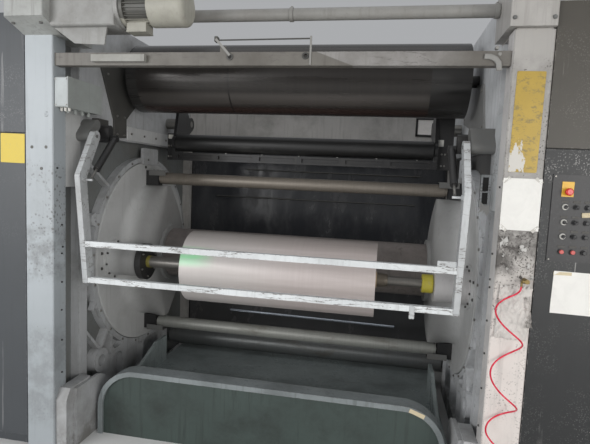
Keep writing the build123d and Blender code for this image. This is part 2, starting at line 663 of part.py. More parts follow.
def disc():
    """A turret disc: rim plate, trunnion, raised casting, tube flange and two shaft hubs."""
    body = bar_x(DISC_FACE, DISC_BACK, AXIS_Y, AXIS_Z, 2 * DISC_RADIUS)
    body += bar_x(DISC_BACK, WEB_OUTER + HOUSING_LENGTH * 2 / 3, AXIS_Y, AXIS_Z, TRUNNION_DIAMETER)
    body += turret_body()
    body += bar_x(TUBE_END, DISC_FACE, AXIS_Y, AXIS_Z, TUBE_FLANGE_DIAMETER)
    for degrees in (0, 180):
        y, z = turret_point(STATION_RADIUS, degrees)
        body += bar_x(DISC_FACE - HUB_FLANGE_THICKNESS, DISC_FACE, y, z, HUB_FLANGE_DIAMETER)
        body += bar_x(HUB_END, DISC_FACE, y, z, HUB_DIAMETER)
        body -= bar_x(HUB_END - OVERCUT, HUB_END + HUB_BORE_DEPTH, y, z,
                      SHAFT_DIAMETER + 2 * HUB_BORE_CLEARANCE)
    return body


def turret_tube():
    return bar_x(-TUBE_END, TUBE_END, AXIS_Y, AXIS_Z, TURRET_TUBE_DIAMETER)


def idler_mounts():
    parts = []
    for degrees in (90, -90):
        y, z = turret_point(IDLER_RADIUS, degrees)
        for side in (-1, 1):
            near = side * (DISC_FACE - IDLER_MOUNT_DEPTH)
            mount = block(near, side * DISC_FACE, y - IDLER_MOUNT_WIDTH / 2, y + IDLER_MOUNT_WIDTH / 2,
                          z - IDLER_MOUNT_HEIGHT / 2, z + IDLER_MOUNT_HEIGHT / 2)
            bore = bar_x(near - side * OVERCUT, side * (DISC_FACE - IDLER_MOUNT_FLOOR), y, z, ROLLER_BORE)
            parts.append(mount - bore)
    return Compound(children=parts)


def idler(degrees):
    """A turret idler: a tube shell on a through shaft, with a narrow collar at each end."""
    y, z = turret_point(IDLER_RADIUS, degrees)
    shaft_end = DISC_FACE - IDLER_MOUNT_FLOOR - IDLER_END_PLAY
    radius = IDLER_DIAMETER / 2
    step = IDLER_SHAFT_DIAMETER / 2
    profile = [
        (-shaft_end, 0),
        (-shaft_end, step),
        (-IDLER_END, step),
        (-IDLER_END, radius - EDGE_CHAMFER),
        (-IDLER_END + IDLER_COLLAR, radius - EDGE_CHAMFER),
        (-IDLER_END + IDLER_COLLAR, radius),
        (IDLER_END - IDLER_COLLAR, radius),
        (IDLER_END - IDLER_COLLAR, radius - EDGE_CHAMFER),
        (IDLER_END, radius - EDGE_CHAMFER),
        (IDLER_END, step),
        (shaft_end, step),
        (shaft_end, 0),
    ]
    return turned_x(profile, y, z)


def shaft(degrees):
    """A winding shaft: chuck plate, nut and core seat on the left, a sliding collar on the right."""
    y, z = turret_point(STATION_RADIUS, degrees)
    end = HUB_END + HUB_BORE_DEPTH - SHAFT_END_PLAY
    face = HUB_END - SHAFT_END_PLAY
    chuck_in = -face + CHUCK_LENGTH
    nut_in = chuck_in + NUT_LENGTH
    body = bar_x(-end, end, y, z, SHAFT_DIAMETER)
    body += bar_x(-face, chuck_in, y, z, CHUCK_DIAMETER)
    body += bar_x(chuck_in, nut_in, y, z, NUT_DIAMETER)
    body += bar_x(nut_in, ROLL_OFFSET - ROLL_WIDTH / 2, y, z, CORE_DIAMETER)
    collar = bar_x(face - COLLAR_LENGTH, face, y, z, COLLAR_DIAMETER)
    return body + chamfer(collar.edges().group_by(Axis.X)[0], EDGE_CHAMFER)


def wound_tube(degrees, diameter, width, offset):
    """A roll or a core, open where its shaft runs through."""
    y, z = turret_point(STATION_RADIUS, degrees)
    body = bar_x(offset - width / 2, offset + width / 2, y, z, diameter)
    return body - hole_x(offset - width / 2, offset + width / 2, y, z, SHAFT_DIAMETER)


# Drum and lay-on unit

def drum():
    """The web drum: a shell with a recessed, spoked head at each end and a through shaft."""
    body = bar_x(-DRUM_HALF_LENGTH, DRUM_HALF_LENGTH, DRUM_Y, DRUM_Z, DRUM_DIAMETER)
    shaft_end = WEB_OUTER + DRUM_SHAFT_REACH
    window = (DRUM_DIAMETER / 2 - DRUM_SHELL - DRUM_HEAD_DIAMETER / 2) / 2
    circle = DRUM_HEAD_DIAMETER / 2 + window
    for side in (-1, 1):
        outer = side * (DRUM_HALF_LENGTH + OVERCUT)
        inner = side * (DRUM_HALF_LENGTH - DRUM_HEAD_RECESS)
        for spoke in range(DRUM_SPOKES):
            turn = 2 * math.pi * spoke / DRUM_SPOKES
            body -= bar_x(outer, inner, DRUM_Y + circle * math.cos(turn), DRUM_Z + circle * math.sin(turn),
                          2 * window)
    return body + bar_x(-shaft_end, shaft_end, DRUM_Y, DRUM_Z, DRUM_SHAFT_DIAMETER)


def layon_arms():
    """Both swing arms, each with its standing end plate and a narrow plate across it."""
    parts = []
    shields = ((-1, LEFT_SHIELD_REACH, LEFT_SHIELD_TOP), (1, RIGHT_SHIELD_REACH, LAYON_PLATE_TOP))
    for side, shield_reach, shield_top in shields:
        inner = side * LAYON_ARM_INNER
        outer = side * (LAYON_ARM_INNER + LAYON_ARM_THICKNESS)
        low, high = min(inner, outer), max(inner, outer)
        half = LAYON_BEAM_DEPTH / 2
        arm = link_x(LAYON_ROLLER_Y, LAYON_ROLLER_Z, LAYON_PIVOT_Y, LAYON_PIVOT_Z, LAYON_ARM_WIDTH,
                     low, high)
        plate = [
            (LAYON_ROLLER_Y - half, LAYON_BEAM_BOTTOM),
            (LAYON_ROLLER_Y + half, LAYON_BEAM_BOTTOM),
            (LAYON_ROLLER_Y + LAYON_ARM_WIDTH / 2, LAYON_ROLLER_Z),
            (LAYON_PIVOT_Y, LAYON_PIVOT_Z),
            (LAYON_PIVOT_Y - LAYON_ARM_WIDTH, LAYON_PLATE_TOP),
            (LAYON_ROLLER_Y + LAYON_ARM_WIDTH / 3, LAYON_PLATE_TOP),
            (LAYON_ROLLER_Y - half, LAYON_ROLLER_Z),
        ]
        arm += plate_x(plate, low, high)
        arm -= hole_x(low, high, LAYON_PIVOT_Y, LAYON_PIVOT_Z, LAYON_PIN_DIAMETER + 2 * PIN_CLEARANCE)
        arm -= hole_x(low, high, LAYON_ROLLER_Y, LAYON_ROLLER_Z, ROLLER_BORE)
        shield_front = LAYON_ROLLER_Y + SHIELD_SET
        arm += block(outer, outer + side * shield_reach, shield_front, shield_front + SHIELD_THICKNESS,
                     LAYON_BEAM_BOTTOM, shield_top)
        parts.append(arm)
    return Compound(children=parts)


def layon_beam():
    """The beam under the roller, with a row of pockets in its front."""
    half = LAYON_ARM_INNER
    front = LAYON_ROLLER_Y - LAYON_BEAM_DEPTH / 2
    middle = LAYON_BEAM_BOTTOM + LAYON_BEAM_HEIGHT / 2
    beam = block(-half, half, front, front + LAYON_BEAM_DEPTH, LAYON_BEAM_BOTTOM,
                 LAYON_BEAM_BOTTOM + LAYON_BEAM_HEIGHT)
    pitch = 2 * half / BEAM_POCKETS
    for index in range(BEAM_POCKETS):
        x = -half + (index + 0.5) * pitch
        reach = (pitch - POCKET_BAR) / 2
        beam -= block(x - reach, x + reach, front - OVERCUT, front + POCKET_DEPTH,
                      middle - POCKET_HEIGHT / 2, middle + POCKET_HEIGHT / 2)
    return beam


def layon_roller():
    half = LAYON_ARM_INNER - LAYON_SIDE_GAP
    reach = LAYON_ARM_INNER + LAYON_ARM_THICKNESS
    radius = LAYON_ROLLER_DIAMETER / 2
    step = IDLER_SHAFT_DIAMETER / 2
    profile = [
        (-reach, 0),
        (-reach, step),
        (-half, step),
        (-half, radius - EDGE_CHAMFER),
        (-half + EDGE_CHAMFER, radius),
        (half - EDGE_CHAMFER, radius),
        (half, radius - EDGE_CHAMFER),
        (half, step),
        (reach, step),
        (reach, 0),
    ]
    return turned_x(profile, LAYON_ROLLER_Y, LAYON_ROLLER_Z)


# Front guard and its struts

def guard_line_y(z):
    """Y of the lower arm's centre line at a height."""
    drop = (GUARD_KNEE_Z - z) / (GUARD_KNEE_Z - GUARD_LOW_BAR_Z)
    return GUARD_KNEE_Y + (GUARD_FOOT_Y - GUARD_KNEE_Y) * drop


def guard_arm(shift):
    """A bent flat tube with a drilled eye at its hinge and an ear for the strut."""
    arm_x = GUARD_ARM_X + shift
    inner = arm_x - GUARD_TUBE / 2
    outer = arm_x + GUARD_TUBE / 2
    low = tube_between(arm_x, GUARD_FOOT_Y, GUARD_LOW_BAR_Z - GUARD_TUBE / 2, GUARD_KNEE_Y, GUARD_KNEE_Z,
                       GUARD_TUBE, GUARD_DEPTH)
    high = tube_between(arm_x, GUARD_KNEE_Y, GUARD_KNEE_Z, GUARD_PIVOT_Y, GUARD_PIVOT_Z,
                        GUARD_TUBE, GUARD_DEPTH)
    knee = bar_x(inner, outer, GUARD_KNEE_Y, GUARD_KNEE_Z, GUARD_DEPTH)
    eye = bar_x(inner, outer, GUARD_PIVOT_Y, GUARD_PIVOT_Z, GUARD_DEPTH)
    bore = hole_x(inner, outer, GUARD_PIVOT_Y, GUARD_PIVOT_Z, GUARD_PIN_DIAMETER + 2 * PIN_CLEARANCE)
    ear = link_x(guard_line_y(STRUT_FOOT_Z), STRUT_FOOT_Z, STRUT_FOOT_Y, STRUT_FOOT_Z, GUARD_EAR_WIDTH,
                 inner - GUARD_EAR_THICKNESS * 2 / 3, inner + GUARD_EAR_THICKNESS / 3)
    pin = bar_x(STRUT_X + shift - STRUT_BODY_DIAMETER / 3, inner, STRUT_FOOT_Y, STRUT_FOOT_Z, GUARD_EAR_PIN)
    return low + high + knee + eye - bore + ear + pin


def guard_bar(z):
    """A square bar between the arms, flush with their fronts."""
    y = guard_line_y(z) - (GUARD_DEPTH - GUARD_TUBE) / 2
    half = GUARD_TUBE / 2
    reach = GUARD_ARM_X - half
    return block(GUARD_MIDDLE - reach, GUARD_MIDDLE + reach, y - half, y + half, z - half, z + half)


def hinge_bracket(shift):
    """The guard's hinge pin on a rounded bracket of the casting."""
    arm_x = GUARD_ARM_X + shift
    pin = bar_x(arm_x - GUARD_TUBE / 2 - 2 * PIN_CLEARANCE, FLANGE_FACE, GUARD_PIVOT_Y, GUARD_PIVOT_Z,
                GUARD_PIN_DIAMETER)
    near = arm_x + GUARD_TUBE / 2 + DISC_RUNNING_GAP
    return pin + link_x(GUARD_PIVOT_Y, GUARD_PIVOT_Z, CASTING_FRONT + HINGE_RUN, GUARD_PIVOT_Z + HINGE_RISE,
                        HINGE_WIDTH, near, FLANGE_FACE)


def strut_lug(shift):
    """A rounded lug on the casting's pad, with the strut's upper pin."""
    near = STRUT_X + shift - STRUT_BODY_DIAMETER / 2
    lug = link_x(STRUT_TOP_Y, STRUT_TOP_Z, STRUT_TOP_Y, STRUT_TOP_Z + STRUT_LUG_RISE, STRUT_LUG,
                 near + STRUT_BODY_DIAMETER + DISC_RUNNING_GAP, FLANGE_FACE)
    return lug + bar_x(near, FLANGE_FACE, STRUT_TOP_Y, STRUT_TOP_Z, STRUT_PIN)


def layon_pin():
    shoulder = LAYON_ARM_INNER + LAYON_ARM_THICKNESS + DISC_RUNNING_GAP
    thick = bar_x(shoulder, FLANGE_FACE, LAYON_PIVOT_Y, LAYON_PIVOT_Z, LAYON_PIN_SHOULDER)
    return thick + bar_x(LAYON_ARM_INNER, FLANGE_FACE, LAYON_PIVOT_Y, LAYON_PIVOT_Z, LAYON_PIN_DIAMETER)


def strut_direction():
    length = math.hypot(STRUT_FOOT_Y - STRUT_TOP_Y, STRUT_FOOT_Z - STRUT_TOP_Z)
    return (STRUT_FOOT_Y - STRUT_TOP_Y) / length, (STRUT_FOOT_Z - STRUT_TOP_Z) / length, length


def strut_span(x, start, end, diameter):
    """A round length of the strut, measured from its upper pin."""
    dy, dz = strut_direction()[:2]
    return round_between(x, STRUT_TOP_Y + dy * start, STRUT_TOP_Z + dz * start,
                         STRUT_TOP_Y + dy * end, STRUT_TOP_Z + dz * end, diameter)


def strut_barrel(shift):
    x = STRUT_X + shift
    half = STRUT_BODY_DIAMETER / 2
    barrel = strut_span(x, 0, STRUT_BODY_LENGTH, STRUT_BODY_DIAMETER)
    barrel -= strut_span(x, STRUT_BORE_START, STRUT_BODY_LENGTH + OVERCUT,
                         STRUT_ROD_DIAMETER + 2 * PIN_CLEARANCE)
    barrel += bar_x(x - half, x + half, STRUT_TOP_Y, STRUT_TOP_Z, STRUT_BODY_DIAMETER)
    return barrel - hole_x(x - half, x + half, STRUT_TOP_Y, STRUT_TOP_Z, STRUT_PIN + 2 * PIN_CLEARANCE)


def strut_rod(shift):
    length = strut_direction()[2]
    return strut_span(STRUT_X + shift, STRUT_ROD_START, length - STRUT_ROD_END, STRUT_ROD_DIAMETER)


# Cross members

def front_beam():
    """A channel across the front, with a cable duct, a hook and two holes."""
    reach = COLUMN_INNER
    top = BEAM_BOTTOM + BEAM_HEIGHT
    beam = block(-reach, reach, BEAM_Y, BEAM_Y + BEAM_DEPTH, BEAM_BOTTOM, top)
    beam -= block(-reach - OVERCUT, reach + OVERCUT, BEAM_Y + BEAM_WALL, BEAM_Y + BEAM_DEPTH + OVERCUT,
                  BEAM_BOTTOM + BEAM_WALL, top - BEAM_WALL)
    middle = BEAM_BOTTOM + BEAM_HEIGHT / 2
    beam += block(DUCT_LEFT, DUCT_RIGHT, BEAM_Y - DUCT_DEPTH, BEAM_Y, middle - DUCT_HEIGHT / 2,
                  middle + DUCT_HEIGHT / 2)
    beam += block(HOOK_X - HOOK_WIDTH / 2, HOOK_X + HOOK_WIDTH / 2, BEAM_Y, BEAM_Y + BEAM_WALL, top,
                  top + HOOK_HEIGHT)
    for x, z in BEAM_HOLES:
        beam -= bar_y(x, BEAM_Y - OVERCUT, BEAM_Y + BEAM_WALL + OVERCUT, BEAM_BOTTOM + z, BEAM_HOLE)
    return beam


def upper_tube():
    return bar_x(-HEAD_INNER, RIGHT_HEAD_INNER, TUBE_Y, TUBE_Z, TUBE_DIAMETER)


def rear_beam():
    reach = COLUMN_INNER
    return block(-reach, reach, FRAME_REAR - REAR_BEAM_DEPTH, FRAME_REAR,
                 REAR_BEAM_BOTTOM, REAR_BEAM_BOTTOM + REAR_BEAM_HEIGHT)


def rear_guard_posts():
    pitch = (2 * COLUMN_INNER - REAR_RAIL) / REAR_BAYS
    posts = []
    for index in range(REAR_BAYS + 1):
        x = -COLUMN_INNER + index * pitch
        posts.append(block(x, x + REAR_RAIL, FRAME_REAR - REAR_RAIL, FRAME_REAR,
                           REAR_GUARD_BOTTOM, REAR_GUARD_TOP))
    return Compound(children=posts)


def rear_guard_rails():
    pitch = (2 * COLUMN_INNER - REAR_RAIL) / REAR_BAYS
    middle = (REAR_GUARD_BOTTOM + REAR_GUARD_TOP - REAR_RAIL) / 2
    rails = []
    for index in range(REAR_BAYS):
        x = -COLUMN_INNER + REAR_RAIL + index * pitch
        for z in (REAR_GUARD_BOTTOM, middle, REAR_GUARD_TOP - REAR_RAIL):
            rails.append(block(x, x + pitch - REAR_RAIL, FRAME_REAR - REAR_RAIL, FRAME_REAR,
                               z, z + REAR_RAIL))
    return Compound(children=rails)


def rear_guard_pane():
    reach = COLUMN_INNER - REAR_RAIL / 3
    y1 = FRAME_REAR - REAR_RAIL
    return block(-reach, reach, y1 - REAR_PANE, y1, REAR_GUARD_BOTTOM + REAR_RAIL / 3,
                 REAR_GUARD_TOP - REAR_RAIL / 3)


def apron_outline(inset):
    """The front outline of the apron: a wide plate with round upper corners."""
    half = APRON_HALF_WIDTH - inset
    top = APRON_TOP - inset
    radius = APRON_CORNER - inset
    face = Plane.XZ * (Pos(0, top / 2) * Rectangle(2 * half, top))
    return fillet(face.vertices().group_by(Axis.Z)[-1], radius)


def apron():
    rim_back = APRON_Y + RIM_DEPTH
    sheet = extrude(Pos(0, APRON_FRONT + APRON_SHEET, 0) * apron_outline(RIM_THICKNESS / 2), APRON_SHEET)
    rim = extrude(Pos(0, rim_back, 0) * apron_outline(0), RIM_DEPTH)
    rim -= extrude(Pos(0, rim_back + OVERCUT, 0) * apron_outline(RIM_THICKNESS), RIM_DEPTH + 2 * OVERCUT)
    return sheet + rim


def tray():
    """The folded sheet under the turret, on its rear leg, with a gusset at each side."""
    front = APRON_FRONT + APRON_SHEET
    rim_back = APRON_Y + RIM_DEPTH
    slope = (TRAY_REAR_Z - TRAY_FRONT_Z) / (TRAY_REAR_Y - front)

    def top_z(y):
        return TRAY_FRONT_Z + slope * (y - front)

    wide = CHEEK_INNER
    narrow = APRON_HALF_WIDTH - RIM_THICKNESS
    sheet = [
        (rim_back, top_z(rim_back)),
        (TRAY_REAR_Y, TRAY_REAR_Z),
        (TRAY_REAR_Y, 0),
        (TRAY_REAR_Y - TRAY_SHEET, 0),
        (TRAY_REAR_Y - TRAY_SHEET, TRAY_REAR_Z - TRAY_SHEET),
        (rim_back, top_z(rim_back) - TRAY_SHEET),
    ]
    tongue = [
        (front, TRAY_FRONT_Z),
        (rim_back, top_z(rim_back)),
        (rim_back, top_z(rim_back) - TRAY_SHEET),
        (front, TRAY_FRONT_Z - TRAY_SHEET),
    ]
    body = plate_x(sheet, -wide, wide) + plate_x(tongue, -narrow, narrow)
    gusset = [
        (BOSS_Y, top_z(BOSS_Y) - TRAY_SHEET / 2),
        (AXIS_Y + STRIP_WIDTH, top_z(AXIS_Y + STRIP_WIDTH) - TRAY_SHEET / 2),
        (AXIS_Y + STRIP_WIDTH, GUSSET_TOP),
        (AXIS_Y - STRIP_WIDTH, GUSSET_TOP),
        ((AXIS_Y + BOSS_Y) / 2, (GUSSET_TOP + TRAY_FRONT_Z) / 2),
    ]
    for x in (-GUSSET_X, GUSSET_X - GUSSET_THICKNESS):
        body += plate_x(gusset, x, x + GUSSET_THICKNESS)
    return body


def low_roller():
    """A deflecting roller low at the rear, its ends in the side plates."""
    step = LOW_ROLLER_DIAMETER / 3
    radius = LOW_ROLLER_DIAMETER / 2
    face = FLANGE_FACE - LAYON_SIDE_GAP
    profile = [
        (-WEB_INNER, 0),
        (-WEB_INNER, step),
        (-face, step),
        (-face, radius),
        (face, radius),
        (face, step),
        (WEB_INNER, step),
        (WEB_INNER, 0),
    ]
    return turned_x(profile, LOW_ROLLER_Y, LOW_ROLLER_Z)


# Cabinets

def cabinet():
    """A cabinet's body, set back behind its door panels and over its plinth."""
    body = block(COLUMN_OUTER, COLUMN_OUTER + CABINET_WIDTH, DOOR_BACK, CABINET_DEPTH, 0, CABINET_TOP)
    return body - block(COLUMN_OUTER - OVERCUT, COLUMN_OUTER + CABINET_WIDTH + OVERCUT, DOOR_BACK - OVERCUT,
                        DOOR_BACK + CABINET_PLINTH_SET_BACK, -OVERCUT, CABINET_PLINTH)


def cabinet_panels():
    """The lower door and the upper panel, a narrow seam apart."""
    x0, x1 = COLUMN_OUTER + CABINET_DOOR_GAP, COLUMN_OUTER + CABINET_WIDTH - CABINET_DOOR_GAP
    low = block(x0, x1, DOOR_FRONT, DOOR_BACK, CABINET_PLINTH, CABINET_SEAM - CABINET_SEAM_GAP / 2)
    high = block(x0, x1, DOOR_FRONT, DOOR_BACK, CABINET_SEAM + CABINET_SEAM_GAP / 2,
                 CABINET_TOP - CABINET_DOOR_GAP)
    low = chamfer(low.edges().group_by(Axis.Y)[0], CABINET_DOOR_GAP / 2)
    high = chamfer(high.edges().group_by(Axis.Y)[0], CABINET_DOOR_GAP / 2)
    return [low, high]


def push_button(x, z):
    """A panel button: a ring with a domed cap."""
    front = CABINET_SET_BACK - PANEL_PLATE
    ring = bar_y(x, front - BUTTON_RING_DEPTH, front, z, BUTTON_RING)
    cap = bar_y(x, front - BUTTON_RING_DEPTH - BUTTON_CAP_DEPTH, front, z, BUTTON_CAP)
    return ring + fillet(cap.edges().group_by(Axis.Y)[0], BUTTON_CAP / 6)


def control_panel():
    """The panel on the right cabinet, with its stop button and three columns of buttons."""
    front = CABINET_SET_BACK - PANEL_PLATE
    plate = block(PANEL_CENTRE_X - PANEL_WIDTH / 2, PANEL_CENTRE_X + PANEL_WIDTH / 2,
                  front, CABINET_SET_BACK,
                  PANEL_CENTRE_Z - PANEL_HEIGHT / 2, PANEL_CENTRE_Z + PANEL_HEIGHT / 2)
    stop_middle = STOP_Z + STOP_HEAD / 3
    plate += block(STOP_X - STOP_PLATE_WIDTH / 2, STOP_X + STOP_PLATE_WIDTH / 2,
                   front - BUTTON_RING_DEPTH / 2, front,
                   stop_middle - STOP_PLATE_HEIGHT / 2, stop_middle + STOP_PLATE_HEIGHT / 2)
    plate += bar_y(STOP_X, front - STOP_DEPTH, front, STOP_Z, STOP_HEAD / 2)
    head = bar_y(STOP_X, front - STOP_DEPTH, front - STOP_DEPTH / 2, STOP_Z, STOP_HEAD)
    plate += fillet(head.edges().group_by(Axis.Y)[0], STOP_HEAD / 5)
    for x in BUTTON_COLUMNS:
        for z in BUTTON_ROWS:
            plate += push_button(PANEL_CENTRE_X + x, PANEL_CENTRE_Z + z)
    return plate


# Drive

def motor():
    """A finned motor with a round fan cowl and its terminal box below."""
    cowl_left = MOTOR_RIGHT - COWL_LENGTH
    core = bar_x(MOTOR_LEFT, cowl_left, MOTOR_Y, MOTOR_Z, MOTOR_CORE)
    fin_height = MOTOR_DIAMETER - MOTOR_CORE
    for index in range(MOTOR_FINS):
        fin = Rot(360 * index / MOTOR_FINS, 0, 0) * Pos(0, 0, MOTOR_CORE / 2) * Box(
            cowl_left - MOTOR_LEFT, FIN_THICKNESS, fin_height)
        core += Pos((MOTOR_LEFT + cowl_left) / 2, MOTOR_Y, MOTOR_Z) * fin
    cowl = bar_x(cowl_left, MOTOR_RIGHT, MOTOR_Y, MOTOR_Z, COWL_DIAMETER)
    cowl = fillet(cowl.edges().group_by(Axis.X)[-1], COWL_ROUND)
    flange = bar_x(MOTOR_LEFT, MOTOR_LEFT + GEARBOX_FLANGE_THICKNESS, MOTOR_Y, MOTOR_Z, COWL_DIAMETER)
    centre = (MOTOR_LEFT + cowl_left) / 2
    top = MOTOR_Z - MOTOR_CORE / 2
    box = block(centre - TERMINAL_WIDTH / 2, centre + TERMINAL_WIDTH / 2, MOTOR_Y - TERMINAL_DEPTH / 2,
                MOTOR_Y + TERMINAL_DEPTH / 2, top - TERMINAL_HEIGHT, top)
    half_width = TERMINAL_WIDTH / 2 + TERMINAL_LIP
    half_depth = TERMINAL_DEPTH / 2 + TERMINAL_LIP
    lid = block(centre - half_width, centre + half_width, MOTOR_Y - half_depth, MOTOR_Y + half_depth,
                top - TERMINAL_HEIGHT - TERMINAL_LID, top - TERMINAL_HEIGHT)
    return core + cowl + flange + box + lid


def gearbox():
    """The gear case between head and motor, with its round flange and the plate below it."""
    case = block(-HEAD_INNER, MOTOR_LEFT - GEARBOX_FLANGE_THICKNESS, MOTOR_Y - GEARBOX_DEPTH / 2,
                 MOTOR_Y + GEARBOX_DEPTH / 2, MOTOR_Z - GEARBOX_HEIGHT / 2, MOTOR_Z + GEARBOX_HEIGHT / 2)
    case = fillet(case.edges().filter_by(Axis.X), GEARBOX_EDGE)
    case += bar_x(MOTOR_LEFT - GEARBOX_FLANGE_THICKNESS, MOTOR_LEFT, MOTOR_Y, MOTOR_Z, GEARBOX_FLANGE)
    bottom = MOTOR_Z - GEARBOX_HEIGHT / 2
    outline = Polyline(
        (-HEAD_INNER, COLUMN_TOP + HEAD_SLOPE / 3),
        (-HEAD_INNER + LINK_RUN, COLUMN_TOP - LINK_DROP),
        (MOTOR_LEFT - LINK_RIGHT_FOOT, COLUMN_TOP - LINK_RIGHT_DROP),
        (MOTOR_LEFT - LINK_RIGHT_TOP, bottom + GEARBOX_EDGE),
        (-HEAD_INNER, bottom + GEARBOX_EDGE),
        close=True,
    )
    link_y = MOTOR_Y - GEARBOX_DEPTH / 4
    return case + extrude(Plane.XZ.offset(-link_y) * make_face(outline), GEARBOX_LINK_DEPTH)


def junction_box():
    """A terminal box on the left column, with a proud cover and glands below."""
    left, right = -COLUMN_INNER, -COLUMN_INNER + JUNCTION_DEPTH
    box = block(left, right, JUNCTION_FRONT, JUNCTION_REAR, JUNCTION_BOTTOM, JUNCTION_TOP)
    box += block(right, right + JUNCTION_COVER, JUNCTION_FRONT - JUNCTION_COVER / 2,
                 JUNCTION_REAR + JUNCTION_COVER / 2, JUNCTION_BOTTOM - JUNCTION_COVER / 2,
                 JUNCTION_TOP + JUNCTION_COVER / 2)
    pitch = (JUNCTION_REAR - JUNCTION_FRONT) / (JUNCTION_GLANDS + 1)
    for index in range(JUNCTION_GLANDS):
        y = JUNCTION_FRONT + (index + 1) * pitch
        box += bar_z((left + right) / 2, y, JUNCTION_BOTTOM - GLAND_LENGTH, JUNCTION_BOTTOM, GLAND_DIAMETER)
    return box


# Spiral air hose

def hose_fitting():
    """An elbow screwed to the column, its barb pointing down into the hose."""
    body = bar_y(FITTING_X, -FITTING_REACH, 0, FITTING_Z + FITTING_DIAMETER, FITTING_DIAMETER)
    x = FITTING_X - FITTING_DIAMETER
    body += bar_x(x, FITTING_X, -FITTING_REACH + FITTING_DIAMETER / 2, FITTING_Z + FITTING_DIAMETER,
                  FITTING_DIAMETER)
    return body + bar_z(x, -FITTING_REACH + FITTING_DIAMETER / 2, HOSE_TOP - FITTING_DIAMETER,
                        FITTING_Z + FITTING_DIAMETER, BARB_DIAMETER)


def air_hose():
    """The spiral hose as one tube of its coils' outer diameter."""
    return bar_z(HOSE_X, HOSE_Y, HOSE_BOTTOM, HOSE_TOP - FITTING_DIAMETER, COIL_DIAMETER)


def hose_nozzle():
    """The blow gun's body at the hose's lower end."""
    grip_end = HOSE_BOTTOM - NOZZLE_LENGTH
    grip = bar_z(HOSE_X, HOSE_Y, grip_end, HOSE_BOTTOM, NOZZLE_DIAMETER)
    return grip + bar_z(HOSE_X, HOSE_Y, grip_end - NOZZLE_TIP, grip_end, NOZZLE_DIAMETER / 3)


def mirrored(part):
    return mirror(part, about=Plane.YZ)


def both(part):
    return Compound(children=[mirrored(part), part])


def round_guard(maker):
    """A piece at each side of the guard, at the same distance from the guard's middle."""
    return Compound(children=[mirrored(maker(-GUARD_MIDDLE)), maker(GUARD_MIDDLE)])


def build_nodes():
    nodes = {}
    for name, maker in (("column", column), ("side_plate", side_plate), ("disc_ring", disc_ring),
                        ("casting_ribs", casting_ribs), ("lower_casting", lower_casting),
                        ("turret_disc", disc)):
        right = maker()
        nodes[name + "_right"] = right
        nodes[name + "_left"] = mirrored(right)
    for name, maker in (("guard_arm", guard_arm), ("strut_barrel", strut_barrel), ("strut_rod", strut_rod)):
        nodes[name + "_right"] = maker(GUARD_MIDDLE)
        nodes[name + "_left"] = mirrored(maker(-GUARD_MIDDLE))
    nodes["head_box_left"] = left_head()
    nodes["head_box_right"] = right_head()
    nodes["rear_posts"] = both(rear_post())
    nodes["upper_pads"] = both(upper_pad())
    nodes["bearing_housings"] = both(bearing_housing())
    nodes["foot_blocks"] = both(foot_block())
    nodes["guard_hinges"] = round_guard(hinge_bracket)
    nodes["strut_lugs"] = round_guard(strut_lug)
    nodes["layon_pins"] = both(layon_pin())
    nodes["cabinets"] = both(cabinet())
    panels = cabinet_panels()
    nodes["cabinet_panels"] = Compound(children=panels + [mirrored(panel) for panel in panels])
    nodes["front_beam"] = front_beam()
    nodes["upper_tube"] = upper_tube()
    nodes["rear_beam"] = rear_beam()
    nodes["rear_guard_posts"] = rear_guard_posts()
    nodes["rear_guard_rails"] = rear_guard_rails()
    nodes["rear_guard_pane"] = rear_guard_pane()
    nodes["apron"] = apron()
    nodes["tray"] = tray()
    nodes["low_roller"] = low_roller()
    nodes["control_panel"] = control_panel()
    nodes["motor"] = motor()
    nodes["gearbox"] = gearbox()
    nodes["junction_box"] = junction_box()
    nodes["hose_fitting"] = hose_fitting()
    nodes["air_hose"] = air_hose()
    nodes["hose_nozzle"] = hose_nozzle()
    nodes["turret_tube"] = turret_tube()
    nodes["idler_mounts"] = idler_mounts()
    nodes["idler_upper"] = idler(90)
    nodes["idler_lower"] = idler(-90)
    nodes["front_shaft"] = shaft(0)
    nodes["rear_shaft"] = shaft(180)
    nodes["film_roll"] = wound_tube(0, ROLL_DIAMETER, ROLL_WIDTH, ROLL_OFFSET)
    nodes["rear_core"] = wound_tube(180, CORE_DIAMETER, ROLL_WIDTH, ROLL_OFFSET)
    nodes["web_drum"] = drum()
    nodes["layon_arms"] = layon_arms()
    nodes["layon_beam"] = layon_beam()
    nodes["layon_roller"] = layon_roller()
    nodes["guard_bars"] = Compound(children=[guard_bar(GUARD_LOW_BAR_Z), guard_bar(GUARD_HIGH_BAR_Z)])
    return nodes


os.makedirs("parts", exist_ok=True)
for node, part in build_nodes().items():
    export_step(Pos(0, -Y_MIDDLE, 0) * part, f"parts/{node}.step")
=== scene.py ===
"""Looks of the turret winding station: camera, hose, materials, fasteners, plates and light.

Places are given in the machine's own millimetres, as in the part's source: X across from the
mid plane, Y back from the column fronts, Z up from the floor. at() turns them into metres.
Materials work in metres, on the coordinates of the meshes.
"""
import math

import bmesh
import bpy
from mathutils import Matrix, Vector, noise
from mathutils.bvhtree import BVHTree


